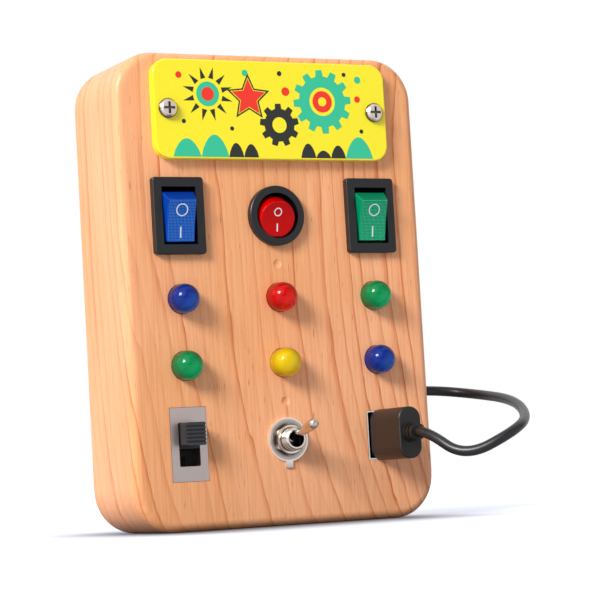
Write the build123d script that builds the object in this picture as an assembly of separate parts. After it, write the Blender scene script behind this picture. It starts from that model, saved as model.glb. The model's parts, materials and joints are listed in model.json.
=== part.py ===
from build123d import *
import math
import os

# A child's wooden switch board: a routed hardwood block that carries three rocker switches,
# six LEDs, a slide switch, a toggle switch and a USB socket with its short tethered plug.
# Millimetres. X runs to the right, Y into the board and Z up. The origin is the middle of
# the face that the board stands on. Pieces on the front are drawn in the front's own frame,
# x right, y up and z out of the wood, with z = 0 on the wood; those on the back likewise.

# ------------------------------------------------------------------ wooden block
case_width = 91.5
case_height = 130.0
case_depth = 31.5
case_corner_radius = 12.0
case_edge_radius = 2.5
front_wall = 4.0
side_wall = 8.0
bottom_wall = 8.0
top_wall = 29.0                 # solid wood above the pocket, for the name plate's screws
cavity_corner_radius = 8.0

# ------------------------------------------------------------------ where things sit on the front
column_margin = 16.35           # from a side of the case to the outer column
usb_column_inset = 0.3          # from the outer column towards the middle
plate_drop = 16.0               # from the top of the case
rocker_drop = 45.0
lower_row = 23.4
led_upper_share = 0.635         # of the way up from the lower row to the rockers
led_lower_share = 0.3425
dent_upper_rise = 9.3           # above the upper LEDs
dent_lower_rise = 10.5          # above the lower row
dent_radius = 1.3
dent_depth = 0.35

# ------------------------------------------------------------------ fits
hole_gap = 0.1          # a body in its cut-out in the wood, all round
shaft_gap = 0.05        # a turning pin or ball in its seat, on the radius
slide_gap = 0.15        # a flat moving piece beside a flat wall
seat_gap = 0.05         # two faces that all but touch across a moving joint

# ------------------------------------------------------------------ rear panel
panel_thickness = 3.0
panel_ledge = 4.0
panel_corner_radius = 6.0
panel_screw_inset = 4.5
panel_screw_length = 11.0

# ------------------------------------------------------------------ screws
wood_screw_radius = 1.25
wood_screw_head_radius = 2.5
board_screw_radius = 1.0
board_screw_head_radius = 1.9
board_screw_head_height = 1.2
board_screw_length = 5.5
cross_width = 0.7
cross_depth = 0.7

# ------------------------------------------------------------------ name plate
plate_margin = 10.25            # from each side of the case
plate_height = 27.3
plate_thickness = 2.5
plate_corner_radius = 4.5
plate_edge_radius = 0.4
plate_screw_inset = 3.9
plate_screw_slack = 0.2
plate_screw_head_radius = 2.7
plate_screw_head_height = 1.5
plate_screw_length = 11.0

# ------------------------------------------------------------------ rocker switches
rocker_throw = 15.0             # degrees to each side of the middle
bezel_rise = 1.9
bezel_edge_radius = 0.5
trunnion_radius = 1.0
trunnion_length = 0.9
switch_floor = 1.6
switch_well_depth = 9.6
snap_reach = 0.9
snap_drop = 3.0
snap_width = 4.0

square_bezel_width = 15.0
square_bezel_height = 21.0
square_bezel_corner = 0.9
square_well_width = 10.0
square_well_height = 15.7
square_wall = 1.5
square_pivot_depth = 2.8
square_face_rise = 6.2          # above the pivot
square_face_length = 11.4
square_face_width = 7.7

round_bezel_radius = 8.3
round_well_radius = 6.3
round_wall = 0.9
round_pivot_depth = 2.2
round_face_rise = 4.6
round_face_radius = 4.9

cap_wall = 1.1
cap_dish = 0.45
cap_skirt_drop = 0.6            # below the pivot
cap_edge_radius = 0.35
plunger_radius = 0.6
plunger_reach = 4.2             # pivot to the centre of the plunger's round end
plunger_sleeve_radius = 1.4
plunger_shows = 1.6             # below its sleeve
plunger_held = 2.2              # inside its sleeve

# ------------------------------------------------------------------ see-saw contact
seesaw_vee = 8.5                # degrees, each arm above level
seesaw_throw = 6.0              # degrees to each side
seesaw_arm = 5.1
seesaw_width = 3.0
seesaw_thickness = 0.6
seesaw_button_radius = 0.8
seesaw_button_height = 0.3
seesaw_button_place = 4.3
seesaw_clear = 0.08             # plunger to see-saw as it passes the middle
blade_width = 2.8
blade_thickness = 0.6
blade_reach = 6.3               # beyond the switch's floor
blade_taper = 1.0
blade_eye_radius = 0.6
blade_eye_inset = 2.0           # from the tip

# ------------------------------------------------------------------ LEDs and their circuit board
led_radius = 4.0
led_dome_centre = 2.3
led_flange_radius = 4.6
led_flange_height = 1.5
led_lead_radius = 0.25
led_lead_pitch = 2.54
led_lead_stub = 0.9             # beyond the circuit board
board_gap = 2.5                 # LED flange to circuit board
board_end = 6.1                 # beyond the outer LEDs
board_spread = 1.5              # the board's height over the pitch of the two rows
board_thickness = 1.6
board_corner_radius = 1.0
board_boss_radius = 2.9
board_hole_slack = 0.15         # round a lead or a screw, on the radius
resistor_radius = 0.9
resistor_length = 3.6
resistor_lead_radius = 0.25
resistor_pitch = 7.6

# ------------------------------------------------------------------ toggle switch
toggle_throw = 14.0
toggle_pivot_rise = 1.5
toggle_tip_reach = 14.9         # pivot to the centre of the lever's round tip
toggle_tip_radius = 1.45
toggle_tip_length = 2.5
toggle_neck_radius = 0.95
toggle_neck_length = 3.0
toggle_ball_radius = 1.95
toggle_pin_radius = 0.45
toggle_pin_reach = 2.55
toggle_foot_radius = 0.6
toggle_foot_reach = 8.2
bushing_radius = 3.0
bushing_rise = 5.5
bushing_edge = 0.3
bushing_mouth_radius = 2.3
bushing_throat_radius = 1.6
bushing_bore_radius = 2.4
toggle_nut_flats = 8.0
toggle_nut_height = 1.8
washer_radius = 6.0
washer_thickness = 0.5
washer_tab_width = 2.1
washer_tab_reach = 7.7
toggle_body_length = 13.2
toggle_body_width = 7.9
toggle_body_depth = 9.5
toggle_body_wall = 1.2
toggle_frame_thickness = 0.5

# ------------------------------------------------------------------ slide switch
slide_plate_width = 10.6
slide_plate_height = 19.9
slide_plate_thickness = 0.5
slide_can_width = 9.6
slide_can_height = 15.0
slide_can_depth = 8.5
slide_slot_width = 6.1
slide_slot_height = 11.8
slide_knob_width = 5.5
slide_knob_height = 6.2
slide_knob_rise = 5.2
slide_travel = 5.4
slide_rib_count = 6
slide_rib_depth = 0.45
slider_height = 7.6
slider_thickness = 2.6
slider_rim = 0.8
slider_pocket_depth = 1.2
slide_base_thickness = 1.5
slide_base_end = 0.75
slide_terminal_pitch = 4.7
slide_terminal_reach = 4.0
slide_leg_width = 1.5
slide_leg_thickness = 0.5
slide_pad_width = 3.0
slide_pad_height = 3.2
slide_pad_thickness = 0.25
wiper_thickness = 0.3
wiper_width = 2.6

# ------------------------------------------------------------------ USB socket and plug
usb_mouth_width = 12.5
usb_mouth_thickness = 5.1
usb_shell_wall = 0.3
usb_lip_width = 13.5
usb_lip_thickness = 8.2
usb_lip_depth = 1.6
usb_socket_depth = 12.2
usb_tongue_width = 11.1
usb_tongue_thickness = 1.8
usb_tongue_length = 8.4
usb_tongue_edge = 0.3
usb_base_thickness = 1.4
usb_contact_length = 7.4
usb_contact_places = (-3.5, -1.0, 1.0, 3.5)
usb_contact_width = 1.0
usb_contact_thickness = 0.2
usb_board_width = 13.0
usb_board_height = 24.6
usb_board_thickness = 1.0
usb_board_screw_pitch = 19.8
plug_shell_width = 12.0
plug_shell_thickness = 4.5
plug_shell_length = 10.7
plug_shell_corner = 0.4
plug_window_width = 2.4
plug_window_height = 1.9
plug_window_out = 2.8           # from the middle
plug_window_inset = 5.2         # from the nose
plug_stem_width = 10.8          # the sleeve's narrower end, inside the grip
plug_stem_length = 6.0
plug_grip_width = 14.2
plug_grip_thickness = 6.9
plug_grip_start = 0.2
plug_grip_length = 16.8
plug_grip_corner = 3.3
plug_grip_edge = 0.5
relief_length = 4.2
relief_root = 0.5               # sunk in the grip
relief_root_radius = 2.65
relief_end_radius = 2.3
relief_groove_count = 2
relief_groove_width = 0.7
relief_groove_depth = 0.5

# ------------------------------------------------------------------ tethered cord
cord_radius = 1.4
cord_exit_height = 35.9
cord_bush_radius = 2.6
cord_bush_flange_radius = 3.8
cord_bush_flange_height = 1.0
# Free points of the cord, as steps from where it leaves the side, up to the strain relief's run.
cord_free_steps = (
    (8.95, 0, 0),
    (19.55, -8.0, -1.9),
    (18.75, -30.2, -4.7),
    (12.05, -47.4, -9.8),
    (0.95, -58.6, -13.8),
    (-11.35, -51.9, -20.4),
)
cord_last_run = 4.55            # straight out of the strain relief
# The held part: a straight run in from the side, then down on to the LEDs' board and along it.
cord_inner_run = 13.0
cord_inner_landing = 23.3
cord_inner_end = 34.3
cord_inner_rise = 3.6           # above the board's lower edge
cord_inner_climb = 1.5
cord_inner_bend = 9.0

# ------------------------------------------------------------------ battery box
cell_radius = 5.2
cell_length = 44.0
cell_gap = 0.3
cell_pip_radius = 1.8
cell_pip_height = 1.0
cell_contact_size = 8.0
cell_contact_thickness = 0.4
cell_stud_radius = 1.6
cell_spring_root_radius = 3.6
cell_spring_tip_radius = 2.6
cell_spring_wall = 1.2
box_wall = 1.2
box_floor = 1.2
box_contact_room = 3.0
box_flange = 3.5
box_flange_thickness = 2.0
box_flange_corner = 3.0
cover_thickness = 1.3
cover_corner_radius = 1.5
cover_screw_out = 4.2
cover_ear_radius = 3.0
cover_ear_rim = 2.7             # the flange's width round an ear
cover_screw_radius = 1.0
cover_screw_head_radius = 1.9
cover_screw_head_height = 0.7
cover_screw_sink = 0.8          # from the cover's face to the underside of the head
cover_screw_length = 6.5
cover_screw_spare = 1.5         # the boss's hole beyond the screw
cover_rib_count = 5
cover_rib_pitch = 2.2
cover_rib_width = 0.9
cover_rib_length = 12.0
cover_rib_depth = 0.5
cover_boss_radius = 2.6

# ------------------------------------------------------------------ wiring
wire_radius = 0.5
wire_bend = 1.1                 # each corner is cut this far back along both its legs
wire_end = 0.9                  # beyond a blade's eye
wire_edge = 1.5                 # from an edge of the LEDs' board
wire_side = 4.5                 # beside the switch, for a wire that passes another blade
usb_wire_pads = ((-4.9, 8.4), (-4.9, 10.6))     # on the socket's board, from its middle
usb_wire_lands = (18.5, 20.5)

# ------------------------------------------------------------------ worked-out sizes and frames
front_y = -case_depth / 2
back_y = case_depth / 2
right_x = case_width / 2
cavity_width = case_width - 2 * side_wall
cavity_height = case_height - bottom_wall - top_wall
cavity_middle = bottom_wall + cavity_height / 2
cavity_floor_z = -front_wall                    # in the front's frame
column_pitch = case_width / 2 - column_margin
usb_column = column_pitch - usb_column_inset
plate_row = case_height - plate_drop
rocker_row = case_height - rocker_drop
led_upper_row = lower_row + led_upper_share * (rocker_row - lower_row)
led_lower_row = lower_row + led_lower_share * (rocker_row - lower_row)
board_row = (led_upper_row + led_lower_row) / 2
box_row = board_row
dent_rows = (led_upper_row + dent_upper_rise, lower_row + dent_lower_rise)
plunger_sleeve_low = plunger_shows - plunger_reach
plunger_top = plunger_sleeve_low + plunger_held
plate_width = case_width - 2 * plate_margin
plate_screw_span = plate_width - 2 * plate_screw_inset
board_width = 2 * (column_pitch + board_end)
board_height = board_spread * (led_upper_row - led_lower_row)
square_body_width = square_well_width + 2 * square_wall
square_body_height = square_well_height + 2 * square_wall
round_body_radius = round_well_radius + round_wall
board_face = -front_wall - led_flange_height - board_gap
board_back = board_face - board_thickness
usb_floor = -usb_socket_depth + usb_base_thickness
usb_board_face = -usb_socket_depth - seat_gap
usb_board_back = usb_board_face - usb_board_thickness
box_bay_length = cell_length + cell_pip_height + box_contact_room
box_bay_width = 4 * cell_radius + 3 * cell_gap
box_bay_depth = 2 * cell_radius + cell_gap
box_length = box_bay_length + 2 * box_wall
box_width = box_bay_width + 2 * box_wall
box_depth = cover_thickness + box_bay_depth + box_floor
cell_level = -box_depth + box_floor + cell_radius + seat_gap       # in the back's frame
cover_screw_x = box_length / 2 + cover_screw_out

front_plane = Plane(origin=(0, front_y, 0), x_dir=(1, 0, 0), z_dir=(0, -1, 0))
back_plane = Plane(origin=(0, back_y, 0), x_dir=(-1, 0, 0), z_dir=(0, 1, 0))


def on_front(x, y, shape):
    """Stands a shape drawn in the front's frame at a place on the front."""
    return front_plane.location * Pos(x, y, 0) * shape


def all_on_front(x, y, pieces):
    """Stands every shape of some nodes at one place on the front."""
    return {node: [on_front(x, y, shape) for shape in shapes] for node, shapes in pieces.items()}


def on_back(x, y, shape):
    """Stands a shape drawn in the back's frame at a place on the back."""
    return back_plane.location * Pos(x, y, 0) * shape


def block(width, height, low, high, corner=0.0):
    """A straight block on the middle of its frame, from one level to another."""
    outline = RectangleRounded(width, height, corner) if corner else Rectangle(width, height)
    return Pos(0, 0, low) * extrude(outline, high - low)


def rod(radius, low, high):
    """A round rod along z, from one level to another."""
    return Pos(0, 0, low) * extrude(Circle(radius), high - low)


def turned(points):
    """A turned piece from its half outline, given as (radius, z) points."""
    return revolve(make_face(Plane.XZ * Polyline(*points, close=True)), Axis.Z)


def top_edges(shape):
    """The edges round the shape's topmost face."""
    return shape.faces().sort_by(Axis.Z)[-1].edges()


def cross_recess(top, reach):
    """The cross-shaped driver recess of a screw head, cut down from its top."""
    bar = block(2 * reach, cross_width, top - cross_depth, top + 1)
    return bar + Rot(Z=90) * bar


# ------------------------------------------------------------------ screws
def pan_screw(shank_radius, head_radius, head_height, length):
    """A pan-head screw with its head standing on z = 0 and its shank below."""
    crown = head_height * 0.55
    head = turned([(0, 0), (head_radius, 0), (head_radius, head_height - crown),
                   (head_radius * 0.72, head_height), (0, head_height)])
    shank = turned([(0, 0), (shank_radius, 0), (shank_radius, -length + 2 * shank_radius), (0, -length)])
    return head + shank - cross_recess(head_height, head_radius * 0.6)


def countersunk_screw(shank_radius, head_radius, length):
    """A countersunk screw with the top of its head on z = 0."""
    cone = head_radius - shank_radius
    body = turned([(0, 0), (head_radius, 0), (shank_radius, -cone),
                   (shank_radius, -length + 2 * shank_radius), (0, -length)])
    return body - cross_recess(0, head_radius * 0.6)


def countersunk_hole(shank_radius, head_radius, depth):
    """The hole that takes a countersunk screw, open at z = 0."""
    wide, narrow = head_radius + seat_gap, shank_radius + seat_gap
    cone = head_radius - shank_radius
    return turned([(0, 1), (wide, 1), (wide, 0), (narrow, -cone), (narrow, -depth), (0, -depth)])


# ------------------------------------------------------------------ placements
rocker_places = {"left_rocker": -column_pitch, "right_rocker": column_pitch}
led_places = {
    "led_upper_left": (-column_pitch, led_upper_row),
    "led_upper_middle": (0, led_upper_row),
    "led_upper_right": (column_pitch, led_upper_row),
    "led_lower_left": (-column_pitch, led_lower_row),
    "led_lower_middle": (0, led_lower_row),
    "led_lower_right": (column_pitch, led_lower_row),
}
board_boss_places = [(side * column_pitch / 2, board_row) for side in (-1, 1)]
usb_boss_places = [(usb_column, lower_row + side * usb_board_screw_pitch / 2) for side in (-1, 1)]
plate_screw_places = [(side * plate_screw_span / 2, plate_row) for side in (-1, 1)]
panel_width = cavity_width + 2 * panel_ledge
panel_height = cavity_height + 2 * panel_ledge
panel_screw_out = panel_width / 2 - panel_screw_inset
panel_screw_up = panel_height / 2 - panel_screw_inset
panel_screw_places = [
    (across * panel_screw_out, cavity_middle + up * panel_screw_up) for across in (-1, 1) for up in (-1, 1)
]


# ------------------------------------------------------------------ wooden block
def wooden_case():
    outline = Pos(0, case_height / 2) * RectangleRounded(case_width, case_height, case_corner_radius)
    case = extrude(front_plane.location * outline, -case_depth)
    rims = case.faces().filter_by(Axis.Y)
    case = fillet([edge for face in rims for edge in face.edges()], case_edge_radius)

    # The pocket routed in from the back, and the rebate that the rear panel drops into.
    pocket = block(cavity_width, cavity_height, front_wall - case_depth, 1, cavity_corner_radius)
    rebate = block(panel_width, panel_height, -panel_thickness, 1, panel_corner_radius)
    case -= on_back(0, cavity_middle, pocket)
    case -= on_back(0, cavity_middle, rebate)
    for x, y in panel_screw_places:
        case -= on_back(x, y, rod(wood_screw_radius + seat_gap, -panel_screw_length - 1, -1))

    # Bosses left standing in the pocket for the two circuit boards, each with its screw hole.
    for places, face, back in ((board_boss_places, board_face, board_back),
                               (usb_boss_places, usb_board_face, usb_board_back)):
        boss = rod(board_boss_radius, face, cavity_floor_z)
        hole = rod(board_screw_radius + seat_gap, back, back + board_screw_length + 0.5)
        for x, y in places:
            case += on_front(x, y, boss)
            case -= on_front(x, y, hole)

    for x, y, shape in case_cuts():
        case -= on_front(x, y, shape)
    side_hole = rod(cord_bush_radius + seat_gap, -1.5 * side_wall, side_wall / 2)
    return case - Pos(right_x, 0, cord_exit_height) * Rot(Y=90) * side_hole


def case_cuts():
    """Every cut in the front as (x, y, shape), from the sizes of what goes through it."""
    deep = -front_wall - 1
    grow = 2 * hole_gap
    rocker = block(square_body_width + grow, square_body_height + grow, deep, 1)
    cuts = [(x, rocker_row, rocker) for x in rocker_places.values()]
    cuts.append((0, rocker_row, rod(round_body_radius + hole_gap, deep, 1)))
    cuts += [(x, y, rod(led_radius + hole_gap, deep, 1)) for x, y in led_places.values()]
    cuts.append((0, lower_row, rod(bushing_radius + hole_gap, deep, 1)))
    plate = block(slide_plate_width + grow, slide_plate_height + grow, -slide_plate_thickness, 1)
    cuts.append((-column_pitch, lower_row, plate))
    cuts.append((-column_pitch, lower_row, block(slide_can_width + grow, slide_can_height + grow, deep, 1)))
    cuts.append((usb_column, lower_row, block(usb_lip_thickness + grow, usb_lip_width + grow, deep, 1)))
    plate_hole = rod(wood_screw_radius + seat_gap, plate_thickness - plate_screw_length - 0.5, 1)
    cuts += [(x, y, plate_hole) for x, y in plate_screw_places]
    ball_radius = (dent_radius**2 + dent_depth**2) / (2 * dent_depth)
    dent = Pos(0, 0, ball_radius - dent_depth) * Sphere(ball_radius)
    return cuts + [(0, y, dent) for y in dent_rows]


# ------------------------------------------------------------------ rear panel
def back_panel():
    grow = 2 * hole_gap
    through = -panel_thickness - 1
    panel = block(panel_width - grow, panel_height - grow, -panel_thickness, 0, panel_corner_radius)
    panel = on_back(0, cavity_middle, panel)
    screw_hole = countersunk_hole(wood_screw_radius, wood_screw_head_radius, panel_thickness + 1)
    for x, y in panel_screw_places:
        panel -= on_back(x, y, screw_hole)
    panel -= on_back(0, box_row, block(box_length + grow, box_width + grow, through, 1))
    panel -= on_back(0, box_row, flange_outline(hole_gap, -box_flange_thickness, 1))
    for side in (-1, 1):
        panel -= on_back(side * cover_screw_x, box_row, rod(cover_boss_radius + hole_gap, through, 1))
    return panel


def eared_plate(width, height, corner, ear, low, high):
    """A plate with rounded corners and a round ear at each end, about a cover screw."""
    plate = block(width, height, low, high, corner)
    for side in (-1, 1):
        plate += Pos(side * cover_screw_x, 0, 0) * rod(ear, low, high)
        plate += Pos(side * cover_screw_x / 2, 0, 0) * block(cover_screw_x, 2 * ear, low, high)
    return plate


def flange_outline(grow, low, high):
    """The battery box's flange, which the rear panel takes flush."""
    rim = 2 * (box_flange + grow)
    ear = cover_ear_radius + cover_ear_rim + grow
    return eared_plate(box_length + rim, box_width + rim, box_flange_corner, ear, low, high)


def cover_outline(grow, low, high):
    """The battery cover's plate, over the cells."""
    width = box_bay_length + box_wall + 2 * grow
    height = box_bay_width + box_wall + 2 * grow
    return eared_plate(width, height, cover_corner_radius, cover_ear_radius + grow, low, high)


# ------------------------------------------------------------------ name plate
def name_plate():
    plate = block(plate_width, plate_height, 0, plate_thickness, plate_corner_radius)
    plate = fillet(top_edges(plate), plate_edge_radius)
    hole = rod(wood_screw_radius + plate_screw_slack, -1, plate_thickness + 1)
    for side in (-1, 1):
        plate -= Pos(side * plate_screw_span / 2, 0, 0) * hole
    return on_front(0, plate_row, plate)


def name_plate_screws():
    screw = pan_screw(wood_screw_radius, plate_screw_head_radius, plate_screw_head_height, plate_screw_length)
    return [on_front(x, y, Pos(0, 0, plate_thickness) * screw) for x, y in plate_screw_places]


# ------------------------------------------------------------------ rocker switches
class Square:
    """Sizes of a rectangular rocker switch."""

    pivot = -square_pivot_depth
    rise = square_face_rise
    face_half = square_face_length / 2
    well_half = square_well_height / 2
    well_side = square_well_width / 2
    shoulder = 2.5

    @staticmethod
    def bezel(low, high):
        return block(square_bezel_width, square_bezel_height, low, high, square_bezel_corner)

    @staticmethod
    def body(low, high):
        return block(square_body_width, square_body_height, low, high)

    @staticmethod
    def well(low, high):
        return block(square_well_width, square_well_height, low, high)

    @staticmethod
    def cap_plan(inset, low):
        """The cap seen from its end: upright skirts that draw in to the face."""
        side = square_well_width / 2 - slide_gap - inset
        face = square_face_width / 2 - inset
        top = square_face_rise + 1
        outline = Polyline((-side, low), (side, low), (side, Square.shoulder), (face, top), (-face, top),
                           (-side, Square.shoulder), close=True)
        return extrude(make_face(Plane.XZ * outline), square_bezel_height / 2, both=True)


class Round:
    """Sizes of the round rocker switch."""

    pivot = -round_pivot_depth
    rise = round_face_rise
    face_half = round_face_radius
    well_half = round_well_radius
    well_side = round_well_radius
    shoulder = 1.5

    @staticmethod
    def bezel(low, high):
        return rod(round_bezel_radius, low, high)

    @staticmethod
    def body(low, high):
        return rod(round_body_radius, low, high)

    @staticmethod
    def well(low, high):
        return rod(round_well_radius, low, high)

    @staticmethod
    def cap_plan(inset, low):
        """A round skirt that draws in to a round face."""
        side = Round.skirt_half() - inset
        face = round_face_radius - inset
        top = round_face_rise + 1
        return turned([(0, low), (side, low), (side, Round.shoulder), (face, top), (0, top)])

    @staticmethod
    def skirt_half():
        return round_well_radius - 0.45


def cap_reach(form):
    """Half the length of a cap's skirt, so that its corner swings clear of the well's ends."""
    throw = math.radians(rocker_throw)
    return (form.well_half - 0.2 - form.shoulder * math.sin(throw)) / math.cos(throw)


def rocker_cap(form):
    """The pressed cap, about its pivot and level: dished face, bevelled ends and hollow skirt."""
    def side_view(inset, low):
        reach = cap_reach(form) - inset
        face = form.face_half - inset
        rise = form.rise - inset
        lines = Polyline((face, rise), (reach, form.shoulder), (reach, low), (-reach, low),
                         (-reach, form.shoulder), (-face, rise))
        dish = ThreePointArc((-face, rise), (0, rise - cap_dish), (face, rise))
        return extrude(make_face(Plane.YZ * Curve([lines, dish])), form.well_side + 1, both=True)

    low = -cap_skirt_drop
    cap = side_view(0, low) & form.cap_plan(0, low)
    upper = [edge for edge in cap.edges() if edge.center().Z > form.shoulder - seat_gap]
    cap = fillet(upper, cap_edge_radius)
    cap -= side_view(cap_wall, low - 1) & form.cap_plan(cap_wall, low - 1)
    cap += rod(plunger_sleeve_radius, plunger_sleeve_low, form.rise - cap_dish - cap_wall / 2)
    cap -= rod(plunger_radius + shaft_gap, plunger_sleeve_low - 1, plunger_top)
    pin_root = form.well_side - slide_gap - cap_wall
    pin = Rot(Y=90) * rod(trunnion_radius, pin_root, form.well_side + trunnion_length)
    return cap + pin + Rot(Z=180) * pin


def rocker_plunger():
    """The round-ended plunger that the cap carries, about the same pivot."""
    stem = rod(plunger_radius, -plunger_reach, plunger_top)
    return stem + Pos(0, 0, -plunger_reach) * Sphere(plunger_radius)


def seesaw():
    """The vee-shaped see-saw contact, level, with its ridge on the origin."""
    rise = math.tan(math.radians(seesaw_vee))
    arm, thick = seesaw_arm, seesaw_thickness
    outline = Polyline((0, 0), (arm, arm * rise), (arm, arm * rise + thick), (0, thick),
                       (-arm, arm * rise + thick), (-arm, arm * rise), close=True)
    plate = extrude(make_face(Plane.YZ * outline), seesaw_width / 2, both=True)
    base = seesaw_button_place * rise
    button = rod(seesaw_button_radius, base - seesaw_button_height, base + thick / 2)
    for side in (-1, 1):
        plate += Pos(0, side * seesaw_button_place, 0) * button
    return plate - Rot(Y=90) * rod(blade_thickness / 2 + seat_gap, -seesaw_width, seesaw_width)


def contact_level():
    """How far above the ridge the pressed arm's button ends, which is where a fixed contact stands."""
    throw = math.radians(seesaw_throw)
    low = seesaw_button_place * math.tan(math.radians(seesaw_vee)) - seesaw_button_height
    edge = seesaw_button_place + seesaw_button_radius
    return low * math.cos(throw) - edge * math.sin(throw) - seat_gap


def ridge_level(pivot, reach, tip_radius):
    """The see-saw's ridge, so that a plunger just clears its vee in the middle."""
    return pivot - reach - tip_radius - seesaw_clear - seesaw_thickness


def blade(top, floor_under):
    """A flat terminal from a level inside the switch to its soldering eye."""
    tip = floor_under - blade_reach
    half = blade_width / 2
    outline = Polyline((-half, top), (half, top), (half, tip + blade_taper), (half - blade_taper, tip),
                       (blade_taper - half, tip), (-half, tip + blade_taper), close=True)
    strip = extrude(make_face(Plane.XZ * outline), blade_thickness / 2, both=True)
    eye = Rot(X=90) * rod(blade_eye_radius, -1, 1)
    return strip - Pos(0, 0, tip + blade_eye_inset) * eye


def fulcrum(ridge, floor_under):
    """The middle terminal, with the round top that the see-saw rocks on."""
    crest = Pos(0, 0, ridge) * Rot(Y=90) * rod(blade_thickness / 2, -blade_width / 2, blade_width / 2)
    return blade(ridge, floor_under) + crest


def switch_slots(places, low):
    """Slots in a switch's floor for its blades."""
    slot = block(blade_width + 2 * seat_gap, blade_thickness + 2 * seat_gap, low - 1, low + switch_floor + 1)
    return [Pos(0, place, 0) * slot for place in places]


def rocker_housing(form):
    """The switch body: bezel, well, bearing holes for the cap, snap lugs and blade slots."""
    bezel = form.bezel(0, bezel_rise)
    bezel = fillet(top_edges(bezel), bezel_edge_radius)
    low = -switch_well_depth - switch_floor
    housing = bezel + form.body(low, 0)
    housing -= form.well(-switch_well_depth, bezel_rise + 1)
    reach = form.well_side + trunnion_length + seat_gap
    housing -= Pos(0, 0, form.pivot) * Rot(Y=90) * rod(trunnion_radius + shaft_gap, -reach, reach)
    for slot in switch_slots((0, seesaw_button_place), low):
        housing -= slot
    return housing


def snap_lugs(form):
    """Two wedge lugs that stand out behind the wood and hold the switch in."""
    out = body_half(form)
    root = out - 0.3
    top = -front_wall - seat_gap
    low = top - snap_drop
    wedge = Polyline((root, top), (out + snap_reach, top), (out, low), (root, low), close=True)
    lug = extrude(make_face(Plane.YZ * wedge), snap_width / 2, both=True)
    return [lug, Rot(Z=180) * lug]


def body_half(form):
    """Half the height of a rocker switch's body."""
    return form.well_half + (square_wall if form is Square else round_wall)


def rocker_switch(name, x, form):
    """Every piece of one rocker switch, in its rest position with the upper end out."""
    ridge = ridge_level(form.pivot, plunger_reach, plunger_radius)
    floor_under = -switch_well_depth - switch_floor
    housing = rocker_housing(form)
    for lug in snap_lugs(form):
        housing += lug
    tilt = Pos(0, 0, form.pivot) * Rot(X=rocker_throw)
    lever = Pos(0, 0, ridge) * Rot(X=-seesaw_throw) * seesaw()
    blades = [fulcrum(ridge, floor_under)]
    blades.append(Pos(0, seesaw_button_place, 0) * blade(ridge + contact_level(), floor_under))
    pieces = {
        name + "_housing": [housing],
        name + "_cap": [tilt * rocker_cap(form)],
        name + "_plunger": [tilt * rocker_plunger()],
        name + "_contact": [lever],
        name + "_terminals": blades,
    }
    return all_on_front(x, rocker_row, pieces)


# ------------------------------------------------------------------ LEDs
def led_lens():
    """A domed lens with the flange that stops it behind the front wall."""
    base = -front_wall - led_flange_height
    straight = [(0, base), (led_flange_radius, base), (led_flange_radius, -front_wall),
                (led_radius, -front_wall), (led_radius, led_dome_centre), (0, led_dome_centre)]
    return turned(straight) + Pos(0, 0, led_dome_centre) * Sphere(led_radius)


def led_leads():
    """Both leads of every LED, through the circuit board."""
    base = -front_wall - led_flange_height
    leads = []
    for x, y in led_places.values():
        for side in (-1, 1):
            lead = rod(led_lead_radius, board_back - led_lead_stub, base)
            leads.append(on_front(x + side * led_lead_pitch / 2, y, lead))
    return leads


def resistor_places():
    """One resistor beside each LED on the back of the circuit board, towards the board's middle."""
    towards = (board_row - led_lower_row) / 2
    return [(x, y + (towards if y < board_row else -towards)) for x, y in led_places.values()]


def led_board():
    board = block(board_width, board_height, board_back, board_face, board_corner_radius)
    board = on_front(0, board_row, board)
    holes = [(x, y, board_screw_radius) for x, y in board_boss_places]
    for side in (-1, 1):
        holes += [(x + side * led_lead_pitch / 2, y, led_lead_radius) for x, y in led_places.values()]
        holes += [(x + side * resistor_pitch / 2, y, resistor_lead_radius) for x, y in resistor_places()]
    holes += [(x, y, wire_radius) for x, y in wire_landings()]
    for x, y, radius in holes:
        board -= on_front(x, y, rod(radius + board_hole_slack, board_back - 1, board_face + 1))
    return board


def resistor():
    """An axial resistor that lies on the board's back, with both leads bent down through it."""
    half = resistor_length / 2
    waist = resistor_radius * 0.8
    shoulder = half - resistor_radius
    body = turned([(0, -half), (resistor_radius, -half), (resistor_radius, -shoulder),
                   (waist, 0.2 - shoulder), (waist, shoulder - 0.2),
                   (resistor_radius, shoulder), (resistor_radius, half), (0, half)])
    level = board_back - resistor_radius
    body = Pos(0, 0, level) * Rot(Y=90) * body
    out = resistor_pitch / 2
    tip = board_face + 0.6
    path = Polyline((-out, 0, tip), (-out, 0, level), (out, 0, level), (out, 0, tip))
    wire = sweep(Plane(origin=path @ 0, z_dir=path % 0) * Circle(resistor_lead_radius), path=path,
                 transition=Transition.RIGHT)
    return body + wire


def board_screw(back):
    """A small screw through a circuit board into its boss, head on the board's back."""
    head = board_screw_head_radius, board_screw_head_height
    return Pos(0, 0, back) * Rot(X=180) * pan_screw(board_screw_radius, *head, board_screw_length)


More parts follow.
